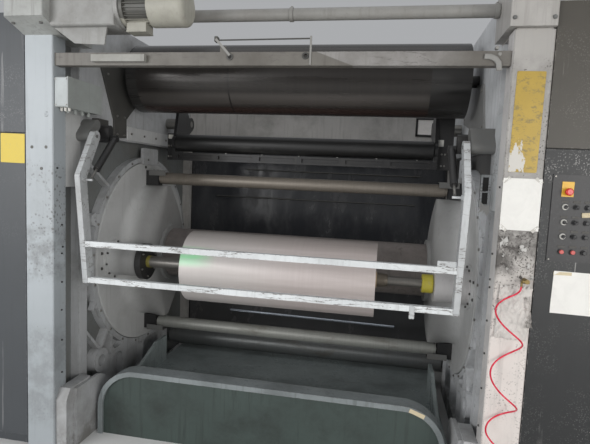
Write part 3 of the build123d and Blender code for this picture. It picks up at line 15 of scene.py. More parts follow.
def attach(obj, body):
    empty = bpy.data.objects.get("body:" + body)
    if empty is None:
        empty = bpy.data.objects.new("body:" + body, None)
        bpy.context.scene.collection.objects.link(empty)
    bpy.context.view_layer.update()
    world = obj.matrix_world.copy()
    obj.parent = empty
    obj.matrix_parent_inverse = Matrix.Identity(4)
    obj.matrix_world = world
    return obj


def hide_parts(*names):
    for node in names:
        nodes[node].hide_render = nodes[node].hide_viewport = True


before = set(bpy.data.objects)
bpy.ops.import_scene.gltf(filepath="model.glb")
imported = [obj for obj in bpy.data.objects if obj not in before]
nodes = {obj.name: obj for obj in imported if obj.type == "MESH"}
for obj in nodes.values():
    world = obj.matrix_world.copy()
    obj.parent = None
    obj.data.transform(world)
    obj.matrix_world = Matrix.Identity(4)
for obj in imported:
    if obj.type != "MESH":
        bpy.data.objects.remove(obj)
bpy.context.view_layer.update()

Y_MIDDLE = 1135.0
AXIS_Y, AXIS_Z = 1346.0, 1280.0
FRONT_Y, REAR_Y = 771, 1921  # of the winding shafts


def at(x, y, z):
    return Vector((x / 1000, (y - Y_MIDDLE) / 1000, z / 1000))


# Camera at the photograph's place

camera_data = bpy.data.cameras.new("camera")
camera_data.sensor_width = 36.0
camera_data.sensor_fit = "HORIZONTAL"
camera_data.lens = 28.921
camera_data.clip_end = 60.0
camera = bpy.data.objects.new("camera", camera_data)
bpy.context.scene.collection.objects.link(camera)
camera.matrix_world = Matrix((
    (0.98245405, -0.05921969, 0.17685326, 0.76645),
    (0.18138395, 0.08270705, -0.97992827, -4.02072),
    (0.04340404, 0.99481283, 0.09199737, 2.03),
    (0, 0, 0, 1),
))
bpy.context.scene.camera = camera


# Material nodes. A noise is its scale, detail, roughness, stretch and distortion

CLOUDS = (1.6, 5)
RUNS = (3.0, 6, 0.65, (9, 9, 0.55), 0.4)
SPOT_FIELD = (2.9, 3)
ORANGE_PEEL = (95, 3)
PAINT_BUMP = (0.45, 0.0012)
# Painted shade on the discs' raised body runs between these two X limits, in metres
SHADE_OUTER_X, SHADE_INNER_X = 1.43, 1.30


def tone(colour, factor):
    return tuple(factor * c for c in colour)


class Surface:
    """One material's node tree, on coordinates that stay with the machine."""

    def __init__(self, name, shift=0):
        self.material = bpy.data.materials.new(name)
        self.material.use_nodes = True
        self.tree = self.material.node_tree
        self.shader = self.tree.nodes["Principled BSDF"]
        self.local = self.node("TexCoord", {}).outputs["Object"]
        self.x, self.y, self.z = self.node("SeparateXYZ", {0: self.local}).outputs
        if shift:
            self.local = self.node("VectorMath", {0: self.local, 1: (shift, -shift, 0.5 * shift)}).outputs[0]

    def put(self, value, socket):
        """Links an output to an input, or sets the input to a value."""
        if isinstance(value, bpy.types.NodeSocket):
            self.tree.links.new(value, socket)
        elif socket.type == "RGBA":
            socket.default_value = (*value, 1.0)
        else:
            socket.default_value = value

    def node(self, kind, inputs, **settings):
        made = self.tree.nodes.new("ShaderNode" + kind)
        for name, value in settings.items():
            setattr(made, name, value)
        for key, value in inputs.items():
            self.put(value, made.inputs[key])
        return made

    def noise(self, scale, detail=4.0, roughness=0.6, stretch=(1, 1, 1), distortion=0.0):
        where = self.node("Mapping", {"Vector": self.local, "Scale": stretch}).outputs[0]
        texture = self.node("TexNoise", {"Vector": where, "Scale": scale, "Detail": detail,
                                         "Roughness": roughness, "Distortion": distortion})
        return texture.outputs["Fac"]

    def patches(self, low, high, *texture):
        """Soft-edged patches, where a noise passes from the low to the high value."""
        return self.ramp(self.noise(*texture), low, high)

    def cells(self, scale, wobble=0.02):
        """Distance to the nearest of scattered points; the wobble makes their outlines ragged."""
        rough = self.node("TexNoise", {"Vector": self.local, "Scale": 2.2 * scale, "Detail": 4})
        inputs = {0: rough.outputs["Color"], 1: (wobble, wobble, wobble), 2: self.local}
        ragged = self.node("VectorMath", inputs, operation="MULTIPLY_ADD").outputs[0]
        return self.node("TexVoronoi", {"Vector": ragged, "Scale": scale}).outputs["Distance"]

    def math(self, operation, a, b=0.0, clamp=False):
        return self.node("Math", {0: a, 1: b}, operation=operation, use_clamp=clamp).outputs[0]

    def times(self, a, b, clamp=False):
        return self.math("MULTIPLY", a, b, clamp)

    def plus(self, a, b, clamp=False):
        return self.math("ADD", a, b, clamp)

    def ramp(self, value, low, high, start=0.0, end=1.0):
        """A smooth step from one number to another, as the value goes from low to high."""
        inputs = dict(enumerate((value, low, high, start, end)))
        return self.node("MapRange", inputs, interpolation_type="SMOOTHSTEP").outputs[0]

    def window(self, value, rise, fall):
        """One between a rising and a falling step, each given by the values it starts and stops at."""
        return self.times(self.ramp(value, *rise), self.ramp(value, *fall))

    def mix(self, factor, a, b):
        return self.node("Mix", {0: factor, 6: a, 7: b}, data_type="RGBA").outputs[2]

    def edges(self, radius):
        """One near a sharp outer edge, nought on a flat face."""
        rounded = self.node("Bevel", {"Radius": radius}, samples=4).outputs[0]
        flat = self.node("NewGeometry", {}).outputs["Normal"]
        likeness = self.node("VectorMath", {0: rounded, 1: flat}, operation="DOT_PRODUCT").outputs["Value"]
        return self.ramp(likeness, 0.965, 0.80)

    def finish(self, colour, roughness, bump=None, **others):
        """Fills the shader and gives the material; a bump is a height, a strength and a distance."""
        if bump:
            height, strength, distance = bump
            inputs = {"Height": height, "Strength": strength, "Distance": distance}
            others["Normal"] = self.node("Bump", inputs).outputs[0]
        for name, value in {"Base_Color": colour, "Roughness": roughness, **others}.items():
            self.put(value, self.shader.inputs[name.replace("_", " ")])
        return self.material


def paint(name, colour, dark=0.85, dirt=(0.13, 0.12, 0.105), grime=0.5, chips=0.3,
          under=(0.09, 0.08, 0.075), rough=0.42, edge=0.006, shift=0, low=0.0, peel=0.05,
          speckle=0.35, scratch=0.0, fresh=None, shaded_inner=None):
    """Enamel with clouds of shade, runs of grime, speckles and chips that gather at edges.

    Below the height low it is smutty. fresh is a repainted strip: its left end, right end, lower
    edge and colour. The colour for the middle, if given, is painted shade: the enamel turns to it
    towards the machine's middle, fully inside the inner X limit, for a raised body in shade.
    """
    s = Surface(name, shift)
    cloud = s.patches(0.3, 0.7, *CLOUDS)
    shade = s.mix(cloud, tone(colour, dark), colour)
    if shaded_inner:
        # Painted shade: darker towards the machine's middle
        shade = s.mix(s.ramp(s.math("ABSOLUTE", s.x), SHADE_INNER_X, SHADE_OUTER_X), shaded_inner, shade)
    if fresh:
        start, stop, height, pale = fresh
        slant = s.plus(s.z, s.times(s.math("SUBTRACT", s.x, start), 0.37))
        inside = s.times(s.ramp(slant, height - 0.002, height + 0.002), s.ramp(s.x, stop, stop - 0.3))
        shade = s.mix(s.times(inside, s.ramp(s.x, start - 0.004, start)), shade, pale)
    runs = s.patches(0.48, 0.72, *RUNS)
    patch = s.patches(0.42, 0.72, 2.3, 7, 0.7)
    dirty = s.times(s.math("MAXIMUM", s.times(runs, 0.8), patch), grime, clamp=True)
    if low:
        smut = s.patches(0.36, 0.62, 5.5, 8, 0.72)
        smut = s.times(s.times(s.ramp(s.z, low, 0.0), smut), 0.8)
        dirty = s.math("MAXIMUM", dirty, smut, clamp=True)
    shade = s.mix(dirty, shade, dirt)
    specks = s.times(s.ramp(s.cells(42), 0.13, 0.05), s.patches(0.45, 0.62, *SPOT_FIELD))
    shade = s.mix(s.times(specks, speckle), shade, dirt)
    region = s.patches(0.35, 0.75, 1.9, 4, 0.6)
    worn = s.plus(s.noise(34, 9, 0.74), s.times(region, 0.08))
    worn = s.plus(worn, s.times(s.edges(edge), 0.19))
    chipped_from = 0.86 - 0.16 * chips
    bare = s.ramp(worn, chipped_from, chipped_from + 0.025)
    shade = s.mix(bare, shade, under)
    if scratch:
        crack = s.math("ABSOLUTE", s.math("SUBTRACT", s.noise(1.5, 5, 0.6, (1.6, 11, 11), 0.2), 0.5))
        lines = s.times(s.ramp(crack, 0.014, 0.006), s.patches(0.45, 0.53, 2.2, 3))
        shade = s.mix(s.times(lines, scratch), shade, under)
    roughness = s.plus(s.plus(s.times(dirty, 0.3), s.times(cloud, 0.08)), rough, clamp=True)
    height = s.math("SUBTRACT", s.times(s.noise(*ORANGE_PEEL), peel), s.times(bare, 0.5))
    return s.finish(shade, roughness, (height, *PAINT_BUMP))


def battered(name, colour, under, zones, shift, foot=None, span=(1.5, 0.4), dot_scale=36, scratch=0.0):
    """Enamel with zones of smut, flakes and spots between two heights, and another colour at its foot.
    On the right column the paler foot is painted light.

    Each zone is its two heights and how smutty, flaky and spotty it is.
    """
    s = Surface(name, shift)
    shade = s.mix(s.patches(0.3, 0.7, *CLOUDS), tone(colour, 0.88), colour)
    # The foot colour, blended in over span; the right column's paler foot is painted light
    if foot:
        shade = s.mix(s.ramp(s.z, *span), shade, foot)
    runs = s.patches(0.5, 0.75, *RUNS)
    shade = s.mix(s.times(runs, 0.3), shade, tone(colour, 0.6))
    flakes = s.noise(30, 8, 0.72)
    smut_cloud = s.patches(0.34, 0.6, 6.5, 8, 0.72)
    dots = s.cells(dot_scale, 0.7 / dot_scale)
    dot_field = s.patches(0.42, 0.58, 4.0, 3)
    bare = s.ramp(flakes, 0.79, 0.81)
    spots = s.times(s.ramp(dots, 0.16, 0.10), s.patches(0.55, 0.66, *SPOT_FIELD))
    smut = None
    for low, high, smutty, flaky, spotty in zones:
        inside = s.window(s.z, (low - 0.06, low + 0.06), (high + 0.05, high - 0.05))
        if smutty:
            here = s.times(s.times(inside, smut_cloud), smutty)
            smut = s.math("MAXIMUM", smut, here) if smut else here
        worn = s.plus(flakes, s.times(inside, flaky))
        bare = s.math("MAXIMUM", bare, s.times(inside, s.ramp(worn, 0.79, 0.81)))
        dotted = s.times(s.times(inside, s.ramp(dots, 0.34, 0.26)), dot_field)
        spots = s.math("MAXIMUM", spots, s.times(dotted, spotty))
    if smut:
        shade = s.mix(smut, shade, (0.075, 0.068, 0.062))
    if scratch:
        lines = s.patches(0.66, 0.70, 1.3, 5, 0.55, (17, 17, 0.9), 0.3)
        lines = s.times(lines, s.patches(0.45, 0.55, 1.8, 3))
        shade = s.mix(s.times(lines, scratch), shade, under)
    worn_edge = s.ramp(s.plus(flakes, s.times(s.edges(0.012), 0.22)), 0.74, 0.77)
    bare = s.math("MAXIMUM", bare, worn_edge)
    shade = s.mix(spots, shade, tone(under, 1.4))
    shade = s.mix(bare, shade, under)
    marks = s.times(s.math("MAXIMUM", bare, spots), -0.6)
    height = s.plus(s.times(s.noise(*ORANGE_PEEL), 0.06), marks)
    return s.finish(shade, s.ramp(bare, 0, 1, 0.45, 0.7), (height, *PAINT_BUMP))


def torn_label(name, colour):
    """A coated yellow plate, scraped and torn to white in patches, with soil in its scratches."""
    s = Surface(name)
    tear = s.plus(s.noise(7, 7, 0.68, (1.5, 1, 0.7)), s.ramp(s.z, 2.40, 2.20, -0.06, 0.17))
    torn = s.ramp(tear, 0.64, 0.66)
    soil = s.times(s.patches(0.52, 0.62, 26, 7, 0.75, (1, 1, 1.6)), 0.7)
    shade = s.mix(s.patches(0.3, 0.7, 3, 5), tone(colour, 0.8), colour)
    shade = s.mix(soil, shade, (0.16, 0.13, 0.06))
    shade = s.mix(torn, shade, (0.60, 0.58, 0.54))
    return s.finish(shade, s.ramp(torn, 0, 1, 0.38, 0.75), (s.plus(torn, s.noise(60, 5)), 0.3, 0.0008))


def turned_metal(name, colour, rough=0.3, stains=0.3, metallic=0.85, shift=0):
    """Turned or ground metal: fine rings round X, smears and a few stains."""
    s = Surface(name, shift)
    rings = s.noise(6.0, 3, 0.7, (70, 0.6, 0.6))
    lines = s.noise(1.2, 6, 0.75, (1, 60, 60))
    shade = s.mix(s.ramp(rings, 0.3, 0.7), tone(colour, 0.82), colour)
    smear = s.times(s.patches(0.5, 0.7, 2.6, 7, 0.7, (0.7, 2, 2), 0.6), stains)
    shade = s.mix(smear, shade, (0.1, 0.085, 0.06))
    roughness = s.plus(s.plus(s.times(lines, 0.22), s.times(smear, 0.3)), rough - 0.1, clamp=True)
    return s.finish(shade, roughness, (s.plus(rings, s.times(lines, 0.4)), 0.12, 0.0004), Metallic=metallic)


def plastic(name, colour, rough=0.35, coat=0.0, shift=0, wear=0.3):
    """Moulded plastic with a fine grain and dull scuffs."""
    s = Surface(name, shift)
    scuffs = s.times(s.patches(0.52, 0.7, 38, 7, 0.7), wear)
    shade = s.mix(scuffs, colour, tuple(0.6 * c + 0.12 for c in colour))
    roughness = s.plus(s.times(scuffs, 0.4), rough, clamp=True)
    return s.finish(shade, roughness, (s.noise(420, 2), 0.1, 0.0003), Coat_Weight=coat)


def paper(name, colour, shift=0, soil=0.35, stain_x=None):
    """A sheet of paper or film, soiled by handling and creased, with an orange stain at stain_x if given."""
    s = Surface(name, shift)
    crease = s.patches(0.44, 0.56, 7, 5, 0.6, (1, 1, 1), 1.2)
    smudge = s.times(s.patches(0.45, 0.72, 11, 6, 0.7), soil)
    shade = s.mix(smudge, colour, tone(colour, 0.62))
    shade = s.mix(s.times(crease, 0.12), shade, tone(colour, 0.7))
    if stain_x:
        across = s.math("ABSOLUTE", s.math("SUBTRACT", s.x, stain_x))
        blot = s.times(s.ramp(across, 0.035, 0.004), s.patches(0.4, 0.6, 18, 5, 0.7))
        shade = s.mix(s.times(blot, 0.8), shade, (0.60, 0.30, 0.05))
    return s.finish(shade, 0.55, (crease, 0.25, 0.001))


def ground_rubber(name, colour):
    s = Surface(name)
    dust = s.times(s.patches(0.5, 0.75, 5, 7, 0.7, (0.5, 3, 3)), 0.35)
    shade = s.mix(dust, colour, (0.11, 0.11, 0.105))
    return s.finish(shade, s.plus(s.times(dust, 0.3), 0.42, clamp=True), (s.noise(300, 3), 0.15, 0.0004))


def wound_film(name):
    """Pearly film on the roll: faint rings, darker bands along it, a crest darkened by painted
    reflection, and a green left end.
    """
    s = Surface(name)
    rings = s.noise(1.0, 5, 0.7, (46, 0.5, 0.5))
    shade = s.mix(s.ramp(rings, 0.3, 0.7), (0.56, 0.50, 0.485), (0.60, 0.54, 0.525))
    bands = s.patches(0.38, 0.66, 1.0, 4, 0.6, (0.35, 5, 7), 0.4)
    shade = s.mix(s.times(bands, 0.75), shade, (0.44, 0.385, 0.365))
    shade = s.mix(s.ramp(s.x, -0.5, 0.3, 0.5, 0.0), shade, (0.56, 0.55, 0.53))
    # Painted reflection: the crest darkens as if the dark interior above were mirrored there
    shade = s.mix(s.times(s.ramp(s.z, 1.47, 1.57), 0.45), shade, (0.12, 0.10, 0.08))
    tint = s.times(s.window(s.z, (1.305, 1.36), (1.48, 1.43)), s.ramp(s.x, -0.42, -0.66))
    hue = s.mix(s.patches(0.42, 0.58, 2.0, 3, 0.5, (0.6, 4, 7)), (0.26, 0.78, 0.36), (0.42, 0.70, 0.48))
    shade = s.mix(s.times(tint, 0.85), shade, hue)
    height = s.plus(s.times(rings, 0.3), s.times(bands, 0.8))
    return s.finish(shade, s.ramp(bands, 0.0, 1.0, 0.42, 0.52), (height, 0.12, 0.001), Metallic=0.22)


def wound_edge(name):
    """The roll's end: thousands of thin layers, seen edge on."""
    s = Surface(name)
    flat = s.node("CombineXYZ", {"Y": s.y, "Z": s.z}).outputs[0]
    centre = at(0, FRONT_Y, AXIS_Z)
    radius = s.node("VectorMath", {0: flat, 1: centre}, operation="DISTANCE").outputs["Value"]
    spiral = s.node("TexNoise", {"Scale": 260, "Detail": 6, "W": radius}, noise_dimensions="1D")
    layers = spiral.outputs["Fac"]
    shade = s.mix(s.ramp(layers, 0.35, 0.65), (0.36, 0.34, 0.32), (0.54, 0.51, 0.49))
    return s.finish(shade, 0.4, (layers, 0.4, 0.001))


def polished_drum(name):
    """The dark drum: a polished shell with a web round it, a seam, dull smears, and a lighter and a
    rusty band at fixed heights.
    """
    s = Surface(name)
    band = s.window(s.x, (-1.272, -1.268), (1.077, 1.073))
    seam = s.window(s.x, (-0.492, -0.489), (-0.477, -0.480))
    rings = s.noise(1.0, 5, 0.7, (40, 0.5, 0.5))
    smear = s.patches(0.4, 0.7, 1.7, 6, 0.65, (0.25, 3, 4), 0.4)
    web = s.mix(s.ramp(rings, 0.3, 0.7), (0.027, 0.024, 0.022), (0.034, 0.030, 0.027))
    web = s.mix(s.times(smear, 0.4), web, (0.024, 0.021, 0.019))
    # A lighter band at one height of the drum
    web = s.mix(s.times(s.window(s.z, (2.58, 2.62), (2.70, 2.66)), 0.7), web, (0.105, 0.095, 0.088))
    web = s.mix(s.times(s.window(s.z, (2.54, 2.56), (2.60, 2.57)), 0.5), web, (0.07, 0.035, 0.03))
    shell = s.mix(smear, (0.028, 0.027, 0.026), (0.05, 0.048, 0.046))
    shade = s.mix(seam, s.mix(band, shell, web), (0.02, 0.018, 0.017))
    height = s.plus(s.times(rings, 0.3), s.times(band, 2.0))
    return s.finish(shade, s.ramp(smear, 0, 1, 0.24, 0.36), (height, 0.12, 0.001), Metallic=0.35)


def smoked_sheet(name):
    s = Surface(name)
    pale_grey = (0.12, 0.12, 0.12)
    dust = s.patches(0.4, 0.75, 3.2, 7, 0.7, (1, 1, 0.4))
    shade = s.mix(s.times(dust, 0.5), (0.035, 0.037, 0.042), pale_grey)
    # Paler towards the bottom
    shade = s.mix(s.ramp(s.z, 1.25, 0.5, 0.0, 0.6), shade, pale_grey)
    return s.finish(shade, s.ramp(dust, 0, 1, 0.14, 0.4))


def board(name):
    """Spiral-wound cardboard, with the seams of its plies."""
    s = Surface(name)
    plies = s.patches(0.48, 0.52, 1.0, 3, 0.5, (7, 2, 2))
    fibre = s.noise(120, 6, 0.7, (0.6, 2, 2))
    shade = s.mix(s.times(plies, 0.3), (0.5, 0.37, 0.24), (0.36, 0.26, 0.17))
    shade = s.mix(s.ramp(fibre, 0.3, 0.7), shade, (0.46, 0.35, 0.235))
    return s.finish(shade, 0.72, (fibre, 0.2, 0.0006))


def stained_floor(name, colour):
    s = Surface(name)
    return s.finish(s.mix(s.patches(0.3, 0.8, 1.1, 6), colour, tone(colour, 0.97)), 0.75)


def hose_skin(name):
    s = Surface(name)
    haze = s.patches(0.4, 0.7, 60, 4)
    shade = s.mix(haze, (0.68, 0.02, 0.055), (0.78, 0.06, 0.11))
    return s.finish(shade, s.ramp(haze, 0, 1, 0.2, 0.34), (haze, 0.06, 0.0003),
                    Subsurface_Weight=0.15, Subsurface_Radius=(0.008, 0.001, 0.002))


# Materials

left_column = battered(
    "left_column_paint", (0.42, 0.455, 0.478), (0.15, 0.155, 0.155),
    ((1.55, 2.05, 0.12, 0.15, 1.0), (1.25, 1.62, 0.45, 0.17, 0.7), (0.2, 0.9, 0.3, 0.10, 0.3)),
    2, foot=(0.35, 0.38, 0.40))
# Painted light: the paler foot over span stands for the stronger light on the lower column
right_column = battered(
    "right_column_paint", (0.385, 0.37, 0.35), (0.07, 0.063, 0.058),
    ((2.0, 2.75, 0.3, 0.18, 0.9), (1.52, 1.82, 1.0, 0.24, 0.9),
     (1.20, 1.62, 0.3, 0.21, 1.0), (0.3, 1.2, 0.05, 0.10, 0.4)),
    5, foot=(0.70, 0.65, 0.615), span=(1.80, 1.20), dot_scale=70)
cabinet_left = battered(
    "cabinet_left_paint", (0.058, 0.064, 0.071), (0.26, 0.26, 0.26),
    ((2.3, 2.7, 0, 0.10, 0.25), (1.2, 2.0, 0, 0.06, 0.1)), 13, dot_scale=95, scratch=0.5)
cabinet_right = battered(
    "cabinet_right_paint", (0.0185, 0.020, 0.0212), (0.36, 0.35, 0.34),
    ((2.02, 2.24, 0, 0.16, 0.5), (1.5, 2.1, 0, 0.08, 0.15), (0.4, 1.3, 0, 0.07, 0.1)),
    25, dot_scale=95, scratch=0.7)
cabinet_top = battered(
    "cabinet_top_paint", (0.060, 0.054, 0.044), (0.26, 0.25, 0.23),
    ((2.3, 2.9, 0, 0.07, 0.15),), 26, dot_scale=95, scratch=0.4)

# Painted light: a paler copy of the right column's paint for its inner faces, which the lamps light less
right_inner_painted_light = paint(
    "right_column_inner_painted_light", (0.68, 0.66, 0.645), grime=0.35, chips=0.7, shift=28, speckle=0.8)
head_left = paint("left_head_paint", (0.40, 0.41, 0.395), grime=0.55, chips=0.6, shift=1)
head_right = paint("right_head_paint", (0.40, 0.385, 0.365), grime=0.35, chips=0.5, shift=3)
cast = paint("casting_paint", (0.47, 0.48, 0.49), chips=0.75, rough=0.5, peel=0.16, shift=4, low=0.4)
# Painted light: a paler copy of the casting paint for the right side, which stands in stronger light
cast_right_painted_light = paint(
    "right_casting_painted_light", (0.64, 0.655, 0.67), grime=0.45, chips=0.75, rough=0.5, peel=0.16,
    shift=27, low=0.4)
# The side plates' dark tone is partly painted shade: they lie in shade between the columns and castings
web_plate_painted_shade = paint("side_plate_painted_shade", (0.17, 0.18, 0.178), grime=0.6, chips=0.5, rough=0.55, shift=6)
# Painted shade: a darker copy for the right side plate's inner faces
web_inner_painted_shade = paint("right_web_inner_painted_shade", (0.085, 0.085, 0.086), grime=0.6, chips=0.5, rough=0.55, shift=29)
# Disc paint: paler on the outer face, with painted shade on the raised body towards the middle
disc_paint_shaded_inward = paint(
    "disc_paint", (0.57, 0.575, 0.57), dark=0.88, grime=0.25, chips=0.4, rough=0.4, peel=0.08,
    edge=0.004, shaded_inner=(0.31, 0.31, 0.305))
# Painted light: a paler copy for the right disc's hubs, which sit in shade deep inside the machine
hub_painted_light = paint("right_hub_painted_light", (0.58, 0.565, 0.56), grime=0.35, chips=0.5, shift=30, speckle=0.9)
# Painted light: a paler grey for the right side cover than the left cover's paint
right_cover_painted_light = paint("right_side_cover_painted_light", (0.23, 0.23, 0.225), grime=0.3, chips=0.4, peel=0.1, shift=22)
hinge_paint = paint("hinge_paint", (0.15, 0.152, 0.148), chips=0.6, rough=0.5, shift=23)
rear_frame = paint("rear_frame_paint", (0.52, 0.505, 0.485), chips=0.5, shift=7)
beam_paint = paint(
    "beam_paint", (0.165, 0.155, 0.138), dirt=(0.06, 0.05, 0.04), chips=0.85, shift=8,
    scratch=0.5, speckle=0.8, fresh=(0.31, 1.25, 2.80, (0.27, 0.26, 0.25)))
duct_paint = paint("duct_paint", (0.33, 0.325, 0.30), chips=0.6, shift=31)
tube_pale = paint("upper_tube_paint", (0.275, 0.27, 0.255), grime=0.4, chips=0.6, shift=9, speckle=0.9)
tube_green = paint("turret_tube_paint", (0.25, 0.22, 0.205), dirt=(0.06, 0.05, 0.045), shift=10)
guard_paint = paint(
    "guard_paint", (0.56, 0.58, 0.59), grime=0.3, chips=0.7, shift=11,
    under=(0.075, 0.055, 0.045), scratch=0.75)
bar_paint = paint(
    "guard_bar_paint", (0.74, 0.77, 0.78), grime=0.3, chips=0.6, edge=0.008, shift=24,
    speckle=0.9, under=(0.075, 0.055, 0.045), scratch=0.8)
black_paint = paint(
    "black_paint", (0.020, 0.020, 0.021), dirt=(0.065, 0.06, 0.053), grime=0.4, rough=0.36,
    under=(0.16, 0.15, 0.14), shift=12)
cover_paint = paint(
    "cover_paint", (0.055, 0.054, 0.05), dirt=(0.10, 0.095, 0.085), chips=0.6, rough=0.5,
    under=(0.16, 0.15, 0.14), shift=19)
apron_rim = paint(
    "apron_rim_paint", (0.235, 0.262, 0.268), dirt=(0.045, 0.05, 0.047), chips=0.85, shift=14, edge=0.008)
apron_sheet = paint(
    "apron_sheet_paint", (0.048, 0.068, 0.061), dirt=(0.02, 0.026, 0.023), grime=0.8, chips=0.4, shift=20)
tray_paint = paint(
    "tray_paint", (0.38, 0.43, 0.43), dirt=(0.05, 0.058, 0.055), grime=0.45, chips=0.4,
    rough=0.24, shift=15)
motor_paint = paint("motor_paint", (0.10, 0.10, 0.09), chips=0.6, shift=16)
cowl_paint = paint("motor_cowl_paint", (0.37, 0.36, 0.31), grime=0.4, chips=0.6, shift=32)
gear_paint = paint("gearbox_paint", (0.32, 0.32, 0.31), grime=0.55, shift=17)
box_paint = paint("junction_box_paint", (0.37, 0.395, 0.38), grime=0.3, chips=0.2, shift=18)
pale_box = paint("box_lid_paint", (0.46, 0.495, 0.50), grime=0.3, shift=21)

steel = turned_metal("turned_steel", (0.34, 0.33, 0.31))
dark_steel = turned_metal("dark_steel", (0.10, 0.10, 0.095), rough=0.38, metallic=0.6, shift=1)
brown_steel = turned_metal("brown_steel", (0.17, 0.145, 0.115), rough=0.4, stains=0.6, metallic=0.5, shift=8)
shaft_steel = turned_metal("shaft_steel", (0.21, 0.20, 0.185), rough=0.36, stains=0.6, metallic=0.6, shift=6)
# Painted sheen: the pale bluish colour stands for the blue highlight along the polished rod
rod_sheen_steel = turned_metal("rod_steel_painted_sheen", (0.75, 0.82, 0.92), rough=0.24, metallic=0.6, shift=5)
idler_metal = turned_metal("idler_metal", (0.265, 0.235, 0.20), rough=0.42, stains=0.5, metallic=0.4, shift=2)
idler_grey = turned_metal("idler_grey", (0.355, 0.36, 0.335), rough=0.45, stains=0.5, metallic=0.3, shift=7)
low_steel = turned_metal("low_roller_steel", (0.22, 0.23, 0.23), rough=0.4, stains=0.5, metallic=0.6, shift=3)
brass = turned_metal("brass", (0.26, 0.19, 0.08), rough=0.4, metallic=0.8, shift=4)

yellow_collar = plastic("yellow_collar", (0.50, 0.43, 0.05), wear=0.6)
olive_nut = plastic("olive_nut", (0.24, 0.21, 0.05), wear=0.7, shift=1)
red_plastic = plastic("red_plastic", (0.62, 0.025, 0.02), rough=0.28, coat=0.4)
faded_red = plastic("faded_red", (0.55, 0.10, 0.09), shift=2)
yellow_plastic = plastic("yellow_plastic", (0.72, 0.42, 0.03))
bright_yellow = plastic("bright_yellow", (0.66, 0.50, 0.07), rough=0.5, wear=0.4, shift=4)
dark_plastic = plastic("dark_plastic", (0.019, 0.019, 0.021), rough=0.4)
legend_plastic = plastic("legend_plastic", (0.055, 0.052, 0.046), rough=0.5, wear=0.9, shift=3)
white_plastic = plastic("white_plastic", (0.62, 0.61, 0.57), rough=0.38)

white_paper = paper("white_paper", (0.78, 0.77, 0.735), soil=0.12)
torn_paper = paper("torn_paper", (0.52, 0.51, 0.49), shift=1, soil=0.5)
clear_tape = paper("clear_tape", (0.55, 0.53, 0.49), shift=2, soil=0.2)
cream_tape = paper("cream_tape", (0.62, 0.53, 0.36), shift=3, soil=0.5)
dusty_tape = paper("dusty_tape", (0.60, 0.57, 0.54), shift=4, soil=1.0)
# Painted light: a pale sheet standing for the bright background behind the rear beam
lit_panel = paper("lit_panel", (0.86, 0.83, 0.80), shift=6, soil=0.3, stain_x=1.29)
worn_yellow = torn_label("worn_yellow_plate", (0.45, 0.305, 0.045))

rubber = ground_rubber("layon_rubber", (0.0135, 0.0135, 0.0135))
film = wound_film("wound_film")
film_edge = wound_edge("wound_edge")
drum_skin = polished_drum("drum_skin")
pane = smoked_sheet("smoked_pane")
core_board = board("core_board")


# Spiral hose, the cord's own spline

HOSE_AXIS = (1515.0, -92.0)
HOSE_RADIUS = 78.0
HOSE_DIAMETER = 10.0
HOSE_EXIT = (1574.0, -49.0, 1474.0)
HOSE_HEIGHTS = ((0.2, 1440.0), (1.0, 1323.0), (2.0, 1139.0), (3.0, 953.0), (4.0, 762.0), (5.0, 610.0),
                (5.7, 500.0))
HOSE_NARROWS_FROM = 5.0
HOSE_STRAIGHT_END = (445.0, 400.0)
HOSE_POINTS_PER_TURN = 14


def hose_height(half_turns):
    """The height after a number of half turns, read off between the listed heights."""
    for (t0, z0), (t1, z1) in zip(HOSE_HEIGHTS, HOSE_HEIGHTS[1:]):
        if half_turns <= t1:
            return z0 + (z1 - z0) * (half_turns - t0) / (t1 - t0)
    return HOSE_HEIGHTS[-1][1]


def hose_points():
    axis_x, axis_y = HOSE_AXIS
    exit_x, exit_y, exit_z = HOSE_EXIT
    points = [HOSE_EXIT, (exit_x, exit_y, exit_z - 22)]
    start, end = HOSE_HEIGHTS[0][0] + 0.12, HOSE_HEIGHTS[-1][0]
    steps = round((end - start) * HOSE_POINTS_PER_TURN / 2)
    for index in range(steps + 1):
        half_turns = start + (end - start) * index / steps
        radius = HOSE_RADIUS
        if half_turns > HOSE_NARROWS_FROM:
            radius *= min(1.0, 0.25 + 1.1 * (end - half_turns))
        angle = math.pi * half_turns
        x, y = axis_x + radius * math.cos(angle), axis_y + radius * math.sin(angle)
        points.append((x, y, hose_height(half_turns)))
    return points + [(axis_x, axis_y, z) for z in HOSE_STRAIGHT_END]


def make_hose():
    curve = bpy.data.curves.new("spiral_hose", "CURVE")
    curve.dimensions = "3D"
    curve.bevel_depth = HOSE_DIAMETER / 2000
    curve.bevel_resolution = 4
    curve.resolution_u = 6
    curve.use_fill_caps = True
    spline = curve.splines.new("NURBS")
    points = hose_points()
    spline.points.add(len(points) - 1)
    for point, place in zip(spline.points, points):
        point.co = (*at(*place), 1.0)
    spline.order_u = 3
    spline.use_endpoint_u = True
    hose = bpy.data.objects.new("spiral_hose", curve)
    bpy.context.scene.collection.objects.link(hose)
    curve.materials.append(hose_skin("hose_skin"))
    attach(hose, "root")
    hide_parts("air_hose")


make_hose()


# Materials on the CAD nodes

def dress(name, material, *rules):
    """Gives a node its material, and its faces that pass a rule's test another one.

    A test is given the middle of a face, in the machine's millimetres, and its normal.
    """
    mesh = nodes[name].data
    mesh.materials.clear()
    mesh.materials.append(material)
    for index, (other, test) in enumerate(rules, 1):
        mesh.materials.append(other)
        for face in mesh.polygons:
            if test(face.center * 1000 + Vector((0, Y_MIDDLE, 0)), face.normal):
                face.material_index = index


